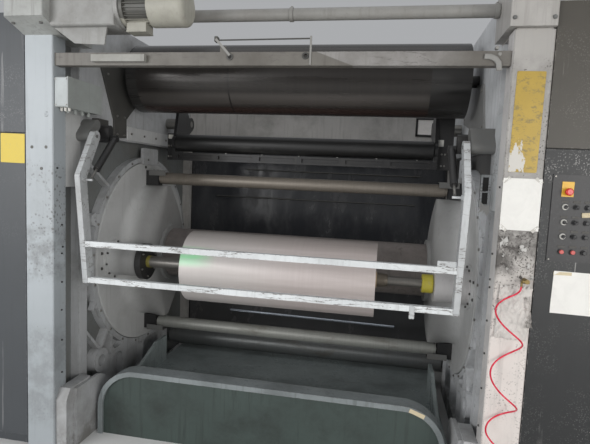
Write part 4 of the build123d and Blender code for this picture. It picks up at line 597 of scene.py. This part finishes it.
for material, names in (
    (head_left, "head_box_left"),
    (head_right, "head_box_right"),
    (cast, "disc_ring_left casting_ribs_left lower_casting_left bearing_housings foot_blocks"),
    (cast_right_painted_light, "disc_ring_right casting_ribs_right lower_casting_right"),
    (guard_paint, "guard_arm_left guard_arm_right"),
    (black_paint, "strut_barrel_left strut_barrel_right strut_lugs rear_guard_posts rear_guard_rails"),
    (black_paint, "idler_mounts layon_arms layon_beam"),
    (steel, "strut_rod_left strut_rod_right layon_pins"),
    (rear_frame, "rear_posts rear_beam"),
    (left_column, "column_left"),
    (web_plate_painted_shade, "side_plate_left"),
    (disc_paint_shaded_inward, "turret_disc_left"),
    (hinge_paint, "guard_hinges"),
    (tube_pale, "upper_tube"),
    (pane, "rear_guard_pane"),
    (tray_paint, "tray"),
    (low_steel, "low_roller"),
    (gear_paint, "gearbox"),
    (box_paint, "junction_box"),
    (brass, "hose_fitting"),
    (tube_green, "turret_tube"),
    (idler_metal, "idler_upper"),
    (idler_grey, "idler_lower"),
    (core_board, "rear_core"),
    (drum_skin, "web_drum"),
    (rubber, "layon_roller"),
    (bar_paint, "guard_bars"),
):
    for name in names.split():
        dress(name, material)

HUB_RADIUS = 138
STOP_BUTTON = (1784, 2020)
LAMPS_X, SWITCHES_X = 1778.0, 1837.0
LAMPS_Z = (1935.0, 1849.0, 1769.0)
PUSHES_Z = 1682.0


def on_hub(p, normal):
    off_shaft = min(math.hypot(p.y - shaft_y, p.z - AXIS_Z) for shaft_y in (FRONT_Y, REAR_Y))
    return abs(p.x) > 1150 and off_shaft < HUB_RADIUS


def on_inner_face(p, normal):
    return normal.x < -0.9


def on_left_side(p, normal):
    return p.x < 0


def on_stop_head(p, normal):
    return math.hypot(p.x - STOP_BUTTON[0], p.z - STOP_BUTTON[1]) < 24 and p.y < -6


def on_stop_plate(p, normal):
    return abs(p.x - STOP_BUTTON[0]) < 33 and 1990 < p.z < 2080 and p.y < -2.5


def in_rings(columns, rows, low, high):
    """A test for faces between two radii round places on the control panel."""
    def test(p, normal):
        return p.y < -2.2 and any(low < math.hypot(p.x - x, p.z - z) < high for x in columns for z in rows)
    return test


for name in ("cabinets", "cabinet_panels"):
    dress(name, cabinet_right, (cabinet_left, on_left_side),
          (cabinet_top, lambda p, normal: p.x > 0 and p.z > 2257))
for name in ("front_shaft", "rear_shaft"):
    dress(name, shaft_steel, (black_paint, lambda p, normal: -1181 < p.x < -1129),
          (olive_nut, lambda p, normal: -1129.5 < p.x < -1099),
          (yellow_collar, lambda p, normal: 1099 < p.x < 1181))
# The right pads get the paler, painted-light copy of the casting paint
dress("upper_pads", cast_right_painted_light, (cast, on_left_side))
# The right column's inner faces get the paler, painted-light copy
dress("column_right", right_column, (right_inner_painted_light, on_inner_face))
# The right side plate's inner faces get the darker, painted-shade copy
dress("side_plate_right", web_plate_painted_shade, (web_inner_painted_shade, on_inner_face))
# The right disc's hubs get the paler, painted-light copy
dress("turret_disc_right", disc_paint_shaded_inward, (hub_painted_light, on_hub))
dress("front_beam", beam_paint, (duct_paint, lambda p, normal: p.x < -700 and p.y < 18))
dress("apron", apron_rim, (apron_sheet, lambda p, normal: p.y > 316 and abs(normal.y) > 0.9))
dress("film_roll", film, (film_edge, lambda p, normal: abs(normal.x) > 0.9))
dress("motor", motor_paint, (cowl_paint, lambda p, normal: p.x > -724 or p.z < 2975))
dress("hose_nozzle", dark_plastic, (steel, lambda p, normal: p.z < 271))
dress("control_panel", dark_plastic, (yellow_plastic, on_stop_plate), (red_plastic, on_stop_head),
      (white_plastic, in_rings((LAMPS_X,), LAMPS_Z, 11.5, 17)),
      (faded_red, in_rings((LAMPS_X, SWITCHES_X), (PUSHES_Z,), -1, 12.5)))


# Small forms, gathered into pieces

OUTWARDS = {
    "front": (0, -1, 0), "back": (0, 1, 0), "right": (1, 0, 0),
    "left": (-1, 0, 0), "up": (0, 0, 1), "down": (0, 0, -1),
}
RAY_START = 0.12
SMOOTH_BELOW = math.radians(32)
SCRAP_POINTS = 17
PIECES = []
TREES = {}


def seat(place, facing="front", turn=0.0):
    """A frame at a place in metres: its Z points outwards, its Y up, or back on a level face."""
    out = Vector(OUTWARDS[facing])
    up = Vector((0, 1, 0)) if out.z else Vector((0, 0, 1))
    frame_there = Matrix((up.cross(out), up, out)).transposed().to_4x4()
    frame_there.translation = place
    return frame_there @ Matrix.Rotation(math.radians(turn), 4, "Z")


def on(name, x, y, z, facing="front", turn=0.0):
    """A seat on a node, where a line from outside it through the place first meets it."""
    if name not in TREES:
        mesh = nodes[name].data
        TREES[name] = BVHTree.FromPolygons([v.co for v in mesh.vertices], [p.vertices for p in mesh.polygons])
    out = Vector(OUTWARDS[facing])
    hit = TREES[name].ray_cast(at(x, y, z) + RAY_START * out, -out)[0]
    if hit is None:
        raise ValueError(f"nothing of {name} behind {x}, {y}, {z}")
    return seat(hit, facing, turn)


def moved(place, x, y, z):
    """A seat moved in its own axes, in millimetres."""
    return place @ Matrix.Translation((x / 1000, y / 1000, z / 1000))


def circle(radius, sides, turn=0.0):
    angles = [2 * math.pi * index / sides + turn for index in range(sides)]
    return [(radius * math.cos(angle), radius * math.sin(angle)) for angle in angles]


def round_axis(y, z, radius, count, start=0.0):
    """Y and Z of places spaced round an axis along X."""
    return [(y + across, z + up) for across, up in circle(radius, count, start)]


def rectangle(width, height, corner=0.0):
    """A rectangle round the origin, with rounded corners."""
    corners = ((1, 1), (-1, 1), (-1, -1), (1, -1))
    if not corner:
        return [(side_x * width / 2, side_y * height / 2) for side_x, side_y in corners]
    points = []
    for index, (side_x, side_y) in enumerate(corners):
        for step in range(4):
            angle = math.pi / 2 * (index + step / 3)
            points.append((side_x * (width / 2 - corner) + corner * math.cos(angle),
                           side_y * (height / 2 - corner) + corner * math.sin(angle)))
    return points


def inset(outline, distance):
    """The outline drawn in by a distance, each corner along its mitre."""
    drawn = []
    for index, (x, y) in enumerate(outline):
        into = Vector((x - outline[index - 1][0], y - outline[index - 1][1])).normalized()
        following = outline[(index + 1) % len(outline)]
        out = Vector((following[0] - x, following[1] - y)).normalized()
        inward = Vector((-into.y - out.y, into.x + out.x))
        inward *= 2 * distance / inward.length_squared
        drawn.append((x + inward.x, y + inward.y))
    return drawn


def rough_at(x, y, z):
    return noise.noise(Vector((x, y, z)))


class Piece:
    """Small forms of one material in one mesh, which rides on one body. Sizes are in millimetres."""

    def __init__(self, name, material, slot="steel", body="root"):
        self.name, self.material, self.slot, self.body = name, material, slot, body
        self.mesh = bmesh.new()
        PIECES.append(self)

    def skin(self, place, rings, ends=(True, True)):
        """Faces between rings of points, with the open ends closed."""
        rows = [[self.mesh.verts.new(place @ (Vector(point) / 1000)) for point in ring] for ring in rings]
        for row, following in zip(rows, rows[1:]):
            for index in range(len(row)):
                after = (index + 1) % len(row)
                self.mesh.faces.new((row[index], row[after], following[after], following[index]))
        for closed, row in zip(ends, (rows[0][::-1], rows[-1])):
            if closed:
                self.mesh.faces.new(row)

    def plate(self, place, outline, thick, edge=1.0, sink=0):
        """A plate of an outline, with its front edges drawn in and its back sunk below the seat."""
        levels = ((-sink, outline), (thick - edge, outline), (thick, inset(outline, edge)))
        self.skin(place, [[(x, y, height) for x, y in points] for height, points in levels])

    def panel(self, name, facing, corners, depth, thick, edge=1.5):
        """A plate on a node, its corners given across and up in the machine's millimetres."""
        across = sum(corner[0] for corner in corners) / len(corners)
        up = sum(corner[1] for corner in corners) / len(corners)
        flip = -1 if facing in ("left", "back") else 1
        outline = [(flip * (a - across), z - up) for a, z in corners]
        place = (across, depth, up) if facing in ("front", "back") else (depth, across, up)
        self.plate(on(name, *place, facing), outline[::flip], thick, edge)

    def lathe(self, place, profile, sides=20, ends=(True, True)):
        self.skin(place, [[(x, y, z) for x, y in circle(radius, sides)] for radius, z in profile], ends)

    def band(self, place, profile, sides):
        """A ring with a hole through it."""
        self.lathe(place, profile, sides, (False, False))

    def bolt(self, place, size):
        """A hexagon head on its washer, for a thread of this size."""
        self.lathe(place, ((size, 0), (size, 0.2 * size), (0.93 * size, 0.27 * size)), 16)
        heights = ((0.88 * size, 0.27 * size), (0.88 * size, 0.8 * size), (0.76 * size, 0.9 * size))
        self.skin(place, [[(x, y, z) for x, y in circle(radius, 6, 0.3)] for radius, z in heights])

    def screw(self, place, size):
        """A cap screw with its socket."""
        profile = ((0.8, 0), (0.8, 0.85), (0.7, 1), (0.46, 1), (0.42, 0.45))
        self.lathe(place, [(radius * size, z * size) for radius, z in profile], 14)

    def sweep(self, path, section):
        """The section drawn along a path in a plane of X and Z; its first axis is the machine's Y."""
        points = [at(*place) for place in path]
        side = Vector((0, 1, 0))
        rings = []
        for index, point in enumerate(points):
            into = (point - points[index - 1]).normalized() if index else None
            out = (points[index + 1] - point).normalized() if index + 1 < len(points) else into
            along = ((into or out) + out).normalized()
            across = along.cross(side) / max(along.dot(out), 0.3)
            rings.append([point * 1000 + side * x + across * y for x, y in section])
        self.skin(Matrix.Identity(4), rings)

    def scrap(self, place, size, lift, seed):
        """A torn scrap: a ragged outline that rises from its middle."""
        middle = self.mesh.verts.new(place @ Vector((0, 0, 0.0015)))
        rim = []
        for index in range(SCRAP_POINTS):
            turn = 2 * math.pi * index / SCRAP_POINTS
            rough = rough_at(2.3 * math.cos(turn), 2.3 * math.sin(turn), seed)
            reach = size * (0.62 + 0.75 * rough + 0.16 * (-1) ** index) / 1000
            rise = (1.2 + lift * abs(rough_at(turn, seed, 3.0))) / 1000
            point = Vector((reach * math.cos(turn), 1.3 * reach * math.sin(turn), rise))
            rim.append(self.mesh.verts.new(place @ point))
        for index, vert in enumerate(rim):
            self.mesh.faces.new((middle, vert, rim[(index + 1) % SCRAP_POINTS]))

    def sheet(self, place, width, height, lift=5.0, wave=1.2, ragged=0.0, crumple=0.0, steps=14, seed=0.0):
        """A thin sheet that lies nearly flat: lifted corners, slow waves and, if torn, a ragged edge."""
        rows = []
        for row in range(steps + 1):
            rows.append([])
            for column in range(steps + 1):
                u, v = 2 * column / steps - 1, 2 * row / steps - 1
                rise = 1.0 + wave * (1 + rough_at(1.3 * u, 1.3 * v + seed, 2.0)) / 2
                rise += lift * abs(u * v) ** 5
                rise += ragged * 0.25 * (0.6 + rough_at(3.1 * u + seed, 3.1 * v, seed))
                rise += crumple * (1 - abs(rough_at(2.6 * u, 3.4 * v, seed)) * 2.2) ** 2
                torn = ragged * 0.004 * (1 + rough_at(7 * u, 7 * v, seed)) * max(abs(u), abs(v)) ** 4
                reach = 1 - torn
                point = Vector((u * width / 2 * reach, v * height / 2 * reach, rise)) / 1000
                rows[-1].append(self.mesh.verts.new(place @ point))
        for row, following in zip(rows, rows[1:]):
            for index in range(steps):
                self.mesh.faces.new((row[index], row[index + 1], following[index + 1], following[index]))

    def done(self):
        bmesh.ops.recalc_face_normals(self.mesh, faces=self.mesh.faces)
        data = bpy.data.meshes.new(self.name)
        self.mesh.to_mesh(data)
        self.mesh.free()
        data.shade_smooth()
        data.set_sharp_from_angle(angle=SMOOTH_BELOW)
        data.materials.append(self.material)
        made = bpy.data.objects.new(self.name, data)
        bpy.context.scene.collection.objects.link(made)
        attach(made, self.body)


# Columns: plugs, screws, plates and sheets

COLUMN_INNER_X = 1438


def dress_columns():
    plugs = Piece("column_plugs", dark_steel)
    for x, z in ((-1599, 2164), (-1491, 2167), (-1527, 2021)):
        plugs.lathe(on("column_left", x, 0, z), ((11, 0), (11, 1.5), (9.5, 2.5), (5, 2.5), (4.5, 0.6)), 16)
    for y, z in (
        (87, 1632), (94, 1475), (86, 1429), (86, 1223), (82, 1021), (84, 800), (84, 560), (40, 2029),
    ):
        plugs.screw(on("column_left", -COLUMN_INNER_X, y, z, "right"), 8)
        plugs.screw(on("column_right", COLUMN_INNER_X, y, z, "left"), 8)
    boss = Piece("column_boss", left_column, "frame_paint")
    boss.lathe(on("column_left", -1490, 0, 2387), ((19, 0), (18, 1.6), (8, 2.6), (6.5, 1.6)), 18)
    heads = Piece("head_screws", hinge_paint, "frame_paint")
    for x in (-1630, -1430):
        heads.bolt(on("head_box_left", x, -120, 2930, "down"), 12)
    for z in (3270, 2960):
        for x in (1426, 1630):
            heads.bolt(on("head_box_right", x, -26, z), 12)
    label = Piece("yellow_plate_right", worn_yellow, "guard_paint")
    label.plate(on("column_right", 1541, 0, 2398, turn=-0.6), rectangle(152, 560, 6), 2.2, 0.6)
    notice = Piece("blank_sheet_right", white_paper, "frame_paint")
    notice.sheet(on("column_right", 1546, 0, 1936), 208, 296, 3.0)
    tape = Piece("sheet_tape", clear_tape, "frame_paint")
    for x, z, turn in ((1460, 2074, 38), (1632, 2074, -38), (1460, 1798, -40), (1632, 1798, 42)):
        tape.sheet(on("column_right", x, -2, z, turn=turn), 46, 18, 1.0, 3.4, steps=6)
    scraps = Piece("torn_scraps", torn_paper, "frame_paint")
    for index, (x, z, size) in enumerate((
        (1464, 1722, 30), (1480, 1706, 17), (1576, 1684, 22), (1562, 1662, 14),
        (1612, 1590, 15), (1476, 1640, 12), (1636, 1520, 13), (1500, 1566, 10),
    )):
        scraps.scrap(on("column_right", x, 0, z, turn=47 * index), size, 22, index + 0.5)
    patch = Piece("crumpled_tape", dusty_tape, "frame_paint")
    patch.sheet(on("column_right", 1552, 0, 1308, turn=-2), 192, 342, 7, 6.0, 22, 9, 44, 4.0)
    patch.sheet(on("column_right", 1632, 0, 1318, turn=8), 34, 210, 14, 5.0, 40, 10, 24, 5.0)


# Cabinets and control panel

CABINET_Y = 4


def dress_cabinets():
    sheet = Piece("blank_sheet_cabinet", white_paper, "frame_paint")
    sheet.sheet(on("cabinet_panels", 1900, CABINET_Y, 1446, turn=-1), 296, 244, 4.0, seed=6.0)
    tag = Piece("tape_tags", cream_tape, "frame_paint")
    tag.sheet(on("cabinet_panels", 1800, 0, 1556, turn=1), 96, 18, 1.0, 3.2, steps=8)
    tag.sheet(on("control_panel", 1888, 0, 1894, turn=4), 46, 30, 1.0, 1.0, ragged=20, steps=8)
    tag.sheet(on("apron", 1087, 300, 479, turn=-20), 112, 30, 1.0, 0.6, ragged=10, steps=10)
    label = Piece("yellow_plate_left", bright_yellow, "guard_paint")
    label.plate(on("cabinet_panels", -1752, CABINET_Y, 2152, turn=-0.5), rectangle(188, 200, 5), 2.0, 0.6)
    latches = Piece("cabinet_latches", dark_plastic, "black_paint")
    hinges = Piece("cabinet_hinges", dark_steel)
    for side in (-1, 1):
        for z in (1150, 2680):
            place = on("cabinet_panels", side * 2020, CABINET_Y, z)
            latches.plate(place, rectangle(46, 150, 20), 9, 3)
            latches.plate(moved(place, 0, 20, 9), rectangle(26, 96, 12), 16, 5)
            latches.lathe(moved(place, 0, -52, 9), ((11, 0), (11, 2), (7, 3), (6, 1)), 14)
        for z in (260, 1150, 2080, 2420, 2900):
            hinges.plate(on("cabinet_panels", side * 2082, CABINET_Y, z), rectangle(20, 110, 8), 12, 4)


def dress_control_panel():
    legends = Piece("panel_legends", legend_plastic, "black_paint")
    for x in (LAMPS_X, SWITCHES_X, 1896):
        for z in (*LAMPS_Z, PUSHES_Z):
            legends.plate(on("control_panel", x, 0, z + 29), rectangle(38, 13, 2), 2.0, 0.6)
    levers = Piece("selector_levers", dark_plastic, "black_paint")
    for z, turn in zip(LAMPS_Z, (35, -30, 20)):
        levers.plate(on("control_panel", LAMPS_X, 0, z, turn=turn), rectangle(23, 7, 3), 9, 2)
        levers.plate(on("control_panel", SWITCHES_X, 0, z, turn=-turn), rectangle(21, 7, 3), 8, 2)
    screws = Piece("panel_screws", steel)
    for x in (1716, 1944):
        for z in (1636, 2104):
            screws.screw(on("control_panel", x, 0, z), 6)


# Side castings and turret

SIDE_X = 1450
DISC_X = 1443
IDLER_GUARD_RISE = 769
IDLER_GUARD_SECTION = (
    (1278, 719), (1282, 719), (1282, 765), (1388, 765), (1388, IDLER_GUARD_RISE), (1278, IDLER_GUARD_RISE),
)


def dress_castings():
    ring_bolts = Piece("ring_bolts", steel)
    hub_bolts = Piece("hub_bolts", dark_steel, body="turret")
    trims = Piece("disc_trims", disc_paint_shaded_inward, "disc_paint", "turret")
    guards = Piece("idler_end_guards", hinge_paint, "disc_paint", "turret")
    guard_screws = Piece("idler_guard_screws", steel, body="turret")
    for name, side, inwards in (("left", -1, "right"), ("right", 1, "left")):
        disc = "turret_disc_" + name
        for y, z in round_axis(AXIS_Y, AXIS_Z, 864, 22, 0.2):
            ring_bolts.bolt(on("disc_ring_" + name, side * SIDE_X, y, z, inwards), 11)
        for shaft_y in (FRONT_Y, REAR_Y):
            for y, z in round_axis(shaft_y, AXIS_Z, 149, 10, 0.15):
                hub_bolts.screw(on(disc, side * 1429, y, z, inwards), 11)
        for y, z in ((580, 1352), (580, 1227), (2112, 1352), (2112, 1227)):
            hub_bolts.bolt(on(disc, side * DISC_X, y, z, inwards), 13)
        for y, z in ((1283, 2072), (1409, 488)):
            hub_bolts.bolt(seat(at(side * 1440, y, z), inwards), 13)
        trims.band(seat(at(side * DISC_X, AXIS_Y, AXIS_Z), inwards),
                   ((833, -2), (833, 2), (831.5, 3), (781.5, 3), (780, 2), (780, -2)), 120)
        for up, facing in ((1, "up"), (-1, "down")):
            section = [(y - Y_MIDDLE, AXIS_Z + up * rise) for y, rise in IDLER_GUARD_SECTION]
            guards.skin(Matrix.Identity(4), [[(side * x, y, z) for y, z in section] for x in (1236, 1402)])
            for x in (1345, 1385):
                guard_screws.screw(seat(at(side * x, AXIS_Y, AXIS_Z + up * IDLER_GUARD_RISE), facing), 8)


def dress_side_covers():
    dark = Piece("side_covers", cover_paint, "black_paint")
    dark.panel("upper_pads", "right", (
        (554, 2832), (742, 2442), (744, 2296), (931, 2312), (928, 2466), (1216, 2710), (1209, 2986),
    ), -SIDE_X, 16)
    dark.panel("upper_pads", "right", ((455, 2300), (586, 2300), (586, 2420), (455, 2420)), -SIDE_X, 60, 4)
    # The right side cover is paler than the left one: painted light
    grey = Piece("side_cover_right", right_cover_painted_light, "black_paint")
    grey.panel("upper_pads", "left", (
        (649, 2415), (987, 2435), (1546, 2561), (1705, 2910), (782, 2762),
    ), SIDE_X, 14)
    pale = Piece("side_plates_pale", disc_paint_shaded_inward, "cast_paint")
    pale.plate(seat(at(-SIDE_X, 216, 2184), "right"), rectangle(174, 572), 9, 2)
    pale.panel("upper_pads", "right", ((960, 2296), (1750, 2296), (1750, 2414), (960, 2414)), -SIDE_X, 10)
    pale.panel("upper_pads", "left", ((678, 2300), (960, 2322), (940, 2405), (700, 2398)), SIDE_X, 18, 3)
    recess = Piece("recess_cover_right", guard_paint, "frame_paint")
    recess.plate(seat(at(SIDE_X, 216, 2175), "left"), rectangle(174, 590), 9, 2)
    fasteners = Piece("side_cover_bolts", steel)
    for y, z in ((640, 2790), (1160, 2900), (1150, 2720), (780, 2480), (890, 2480), (780, 2330), (890, 2330)):
        fasteners.bolt(seat(at(-1434, y, z), "right"), 10)
    for y, z in ((700, 2450), (950, 2460), (1500, 2600), (1620, 2860), (820, 2720)):
        fasteners.bolt(seat(at(1436, y, z), "left"), 10)
    for y in (1020, 1250, 1480, 1700):
        fasteners.bolt(seat(at(-1440, y, 2355), "right"), 11)
    bracket = Piece("slotted_bracket", guard_paint, "guard_paint")
    for x0, x1, z0, z1 in ((1388, 1400, 1895, 2105), (1436, 1451, 1895, 2105), (1398, 1438, 2088, 2105),
                           (1398, 1438, 1895, 1916), (1398, 1438, 1990, 2000)):
        place = seat(at((x0 + x1) / 2, 350, (z0 + z1) / 2))
        bracket.plate(place, rectangle(x1 - x0, z1 - z0), 8, 1.5)
    backing = Piece("bracket_backing", black_paint, "black_paint")
    backing.plate(seat(at(1419, 356, 2000)), rectangle(66, 212), 6, 1)
    foot = Piece("bracket_foot_scrap", torn_paper, "frame_paint")
    foot.scrap(seat(at(1420, 341, 1886)), 44, 14, 7.5)


# Guard, beams and rear guard

def dress_guard():
    tabs = Piece("guard_tabs", guard_paint, "guard_paint", "guard")
    tabs.plate(moved(on("guard_bars", 998, 178, 1230), 0, -24, 0), rectangle(34, 84, 4), 4, 1)
    tabs.plate(seat(at(1190, 152, 1536)), rectangle(118, 42, 3), 4, 1)
    tabs.plate(seat(at(1190, 164, 1519), "up"), rectangle(118, 26), 4, 1)
    for name, x in (("guard_arm_left", -1316), ("guard_arm_right", 1270)):
        tabs.plate(on(name, x, 160, 1975), rectangle(38, 6, 2.5), 1.8, 0.7)


def dress_beams():
    latch = Piece("beam_latch", tube_pale, "frame_paint")
    latch.sweep(((-308, 12, 2872), (-215, 12, 2772)), rectangle(5, 15))
    latch.plate(seat(at(292, 20, 2800)), rectangle(12, 172), 6, 1.5)
    rod = Piece("latch_rod", dark_steel)
    rod.sweep(((-312, 22, 2866), (294, 22, 2872)), circle(4.5, 10))
    rod.plate(seat(at(-307, 22, 2872)), rectangle(22, 34, 5), 12, 3, sink=24)
    bushes = Piece("beam_bushes", dark_steel)
    for x, z in ((-215, 2764), (262, 2769)):
        bushes.band(moved(on("front_beam", x + 16, 20, z), -16, 0, 0),
                    ((21, 0), (21, 4), (19, 6), (13, 6), (12, 5), (12, 0)), 24)
    elbow = Piece("beam_elbow", tube_pale, "frame_paint")
    path = ((1290, 14, 2762), (1322, 12, 2760), (1350, 12, 2748), (1368, 12, 2726), (1374, 12, 2684))
    elbow.sweep(path, rectangle(16, 30, 5))
    for x, z in ((1356, 2812), (1372, 2776)):
        elbow.lathe(seat(at(x, 20, z)), ((11, -20), (11, 3), (9, 6), (4, 7)), 16)
    clamps = Piece("tube_clamps", tube_pale, "frame_paint")
    for x in (-1340, 108, 1372):
        clamps.band(seat(at(x, 250, 3089), "right"),
                    ((39.5, 0), (44, 0), (45, 1.5), (45, 22.5), (44, 24), (39.5, 24)), 40)
        clamps.bolt(seat(at(x + 12, 250, 3133), "up"), 9)
    lid = Piece("junction_box_lid", pale_box, "frame_paint")
    lid.plate(on("junction_box", -1387, 20, 2538), rectangle(96, 190, 6), 6, 2)
    lid_screws = Piece("junction_box_screws", steel)
    for x in (-1427, -1347):
        for z in (2454, 2622):
            lid_screws.screw(seat(at(x, 14, z)), 5)
    glands = Piece("cable_glands", white_plastic, "frame_paint")
    for x in (-1418, -1388, -1358):
        place = on("junction_box", x, 62, 2440, "down")
        glands.lathe(place, ((11, 0), (11, 7), (10, 8)), 6)
        glands.lathe(place, ((9, 8), (9, 18), (6.5, 24), (5, 24), (4.6, 20)), 16)


def dress_rear():
    # The rod's pale blue colour is a painted sheen
    sheen_rod = Piece("rod_with_painted_sheen", rod_sheen_steel)
    sheen_rod.sweep(((-906, 2368, 456), (984, 2368, 437)), circle(13, 14))
    rods = Piece("rear_rods", dark_steel)
    rods.sweep(((-777, 2372, 2104), (1172, 2372, 2099)), circle(7, 12))
    rods.sweep(((-1120, 2372, 1790), (1120, 2372, 1790)), circle(8, 12))
    for x, z in ((-740, 2104), (60, 2101), (1100, 2099), (-1100, 1790), (60, 1790), (1100, 1790),
                 (-880, 456), (60, 447), (960, 437)):
        rods.lathe(on("rear_guard_pane", x, 2382, z), ((13, 0), (13, 2), (8, 3), (8, 11)), 14)
    # The pale panel is painted light, standing for bright background light behind the rear beam
    window = Piece("rear_panel", lit_panel, "frame_paint")
    window.panel("rear_beam", "front", ((1096, 2546), (1326, 2540), (1330, 2702), (1098, 2704)), 2360, 5)
    edging = Piece("rear_panel_frame", black_paint, "black_paint")
    for corners in (
        ((1076, 2524), (1350, 2518), (1350, 2542), (1076, 2548)),
        ((1076, 2702), (1350, 2700), (1350, 2718), (1076, 2718)),
        ((1076, 2530), (1098, 2530), (1098, 2716), (1076, 2716)),
        ((1328, 2526), (1350, 2526), (1350, 2716), (1328, 2716)),
    ):
        edging.panel("rear_beam", "front", corners, 2360, 12, 2)
    tabs = Piece("white_tabs", white_plastic, "frame_paint", "layon_unit")
    tabs.plate(on("layon_arms", 1240, 1440, 2386), rectangle(56, 58, 4), 5, 1)
    tabs.plate(on("layon_arms", -1256, 1440, 2376), rectangle(60, 40, 6), 5, 1)


# Lay-on unit, winding shafts and outer sides

def dress_layon():
    bolts = Piece("layon_bolts", steel, body="layon_unit")
    for side, inwards in ((-1, "right"), (1, "left")):
        for z in (2190, 2290):
            for x in (1256, 1284):
                bolts.bolt(on("layon_arms", side * x, 1440, z), 9)
        for z in (2172, 2208):
            for y in (1396, 1444):
                bolts.bolt(on("layon_arms", side * 1190, y, z, inwards), 9)
    for x in range(-1050, 1051, 350):
        bolts.screw(on("layon_beam", x, 1420, 2226, "up"), 9)


def dress_spindles():
    for name, shaft_y in (("front", FRONT_Y), ("rear", REAR_Y)):
        shaft = name + "_shaft"
        screws = Piece(shaft + "_screws", steel, body=name + "_spindle")
        for y, z in round_axis(shaft_y, AXIS_Z, 122, 6, 0.4):
            screws.screw(on(shaft, -1130, y, z, "right"), 10)
        for y, z in round_axis(shaft_y, AXIS_Z, 62, 5, 0.1):
            screws.screw(on(shaft, 1100, y, z, "left"), 6)
    cores = Piece("core_ends", core_board, "core_board", "front_spindle")
    for x, facing in ((-733, "left"), (757, "right")):
        cores.band(seat(at(x, FRONT_Y, AXIS_Z), facing),
                   ((62, -1), (62, 6), (60, 8), (50, 8), (48.6, 6), (48.6, -1)), 48)
    chuck = Piece("roll_chuck", brown_steel, body="front_spindle")
    chuck.lathe(seat(at(758, FRONT_Y, AXIS_Z), "right"),
                ((52, 0), (52, 60), (50, 62), (50, 74), (46, 88), (36, 90)), 40)


def dress_outside():
    vents = Piece("cabinet_vents", dark_plastic, "black_paint")
    for x in (-1875, 1875):
        for z in (*range(360, 721, 30), *range(2360, 2721, 30)):
            vents.plate(on("cabinets", x, 700, z, "back"), rectangle(300, 15, 7), 7, 3)
    bolts = Piece("housing_bolts", steel)
    for name, side in (("left", -1), ("right", 1)):
        for y, z in round_axis(AXIS_Y, AXIS_Z, 128, 8, 0.4):
            bolts.bolt(on("bearing_housings", side * 1650, y, z, name), 14)
        for y in (1100, 1350, 1600, 1850, 2100):
            for z in (300, 900, 1700, 2420):
                bolts.bolt(on("side_plate_" + name, side * 1560, y, z, name), 14)
    for x in (-1390, -1340, 1340, 1390):
        bolts.bolt(on("rear_beam", x, 2405, 2720, "up"), 16)


dress_columns()
dress_cabinets()
dress_control_panel()
dress_castings()
dress_side_covers()
dress_guard()
dress_beams()
dress_rear()
dress_layon()
dress_spindles()
dress_outside()
for piece in PIECES:
    piece.done()


# Floor, light and air

FLOOR_REACH = 30
AIR_STRENGTH = 0.42


def make_floor():
    mesh = bpy.data.meshes.new("studio_floor")
    corners = [(x * FLOOR_REACH, y * FLOOR_REACH, 0) for x, y in ((-1, -1), (1, -1), (1, 1), (-1, 1))]
    mesh.from_pydata(corners, [], [(0, 1, 2, 3)])
    floor = bpy.data.objects.new("studio_floor", mesh)
    bpy.context.scene.collection.objects.link(floor)
    mesh.materials.append(stained_floor("pale_floor", (0.78, 0.78, 0.77)))


def soft_lamp(name, place, target, size, power, colour=(1, 1, 1)):
    data = bpy.data.lights.new(name, "AREA")
    data.shape = "RECTANGLE"
    data.size, data.size_y = size
    data.energy = power
    data.color = colour
    lamp = bpy.data.objects.new(name, data)
    bpy.context.scene.collection.objects.link(lamp)
    lamp.location = place
    lamp.rotation_euler = (Vector(target) - Vector(place)).to_track_quat("-Z", "Y").to_euler()


def make_air():
    world = bpy.data.worlds.new("studio_air")
    world.use_nodes = True
    background = world.node_tree.nodes["Background"]
    background.inputs["Color"].default_value = (0.95, 0.97, 1.0, 1)
    background.inputs["Strength"].default_value = AIR_STRENGTH
    bpy.context.scene.world = world


make_floor()
make_air()
soft_lamp("key_light", (-4.6, -7.0, 2.7), (0.2, 0.2, 1.3), (4.0, 3.0), 270)
soft_lamp("fill_light", (4.8, -6.6, 2.1), (-0.2, 0.2, 1.2), (4.0, 3.0), 203, (1.0, 0.98, 0.95))
soft_lamp("top_light", (0.0, -0.5, 5.6), (0.0, 0.2, 1.0), (3.5, 3.0), 16)
bpy.context.scene.view_settings.view_transform = "Standard"
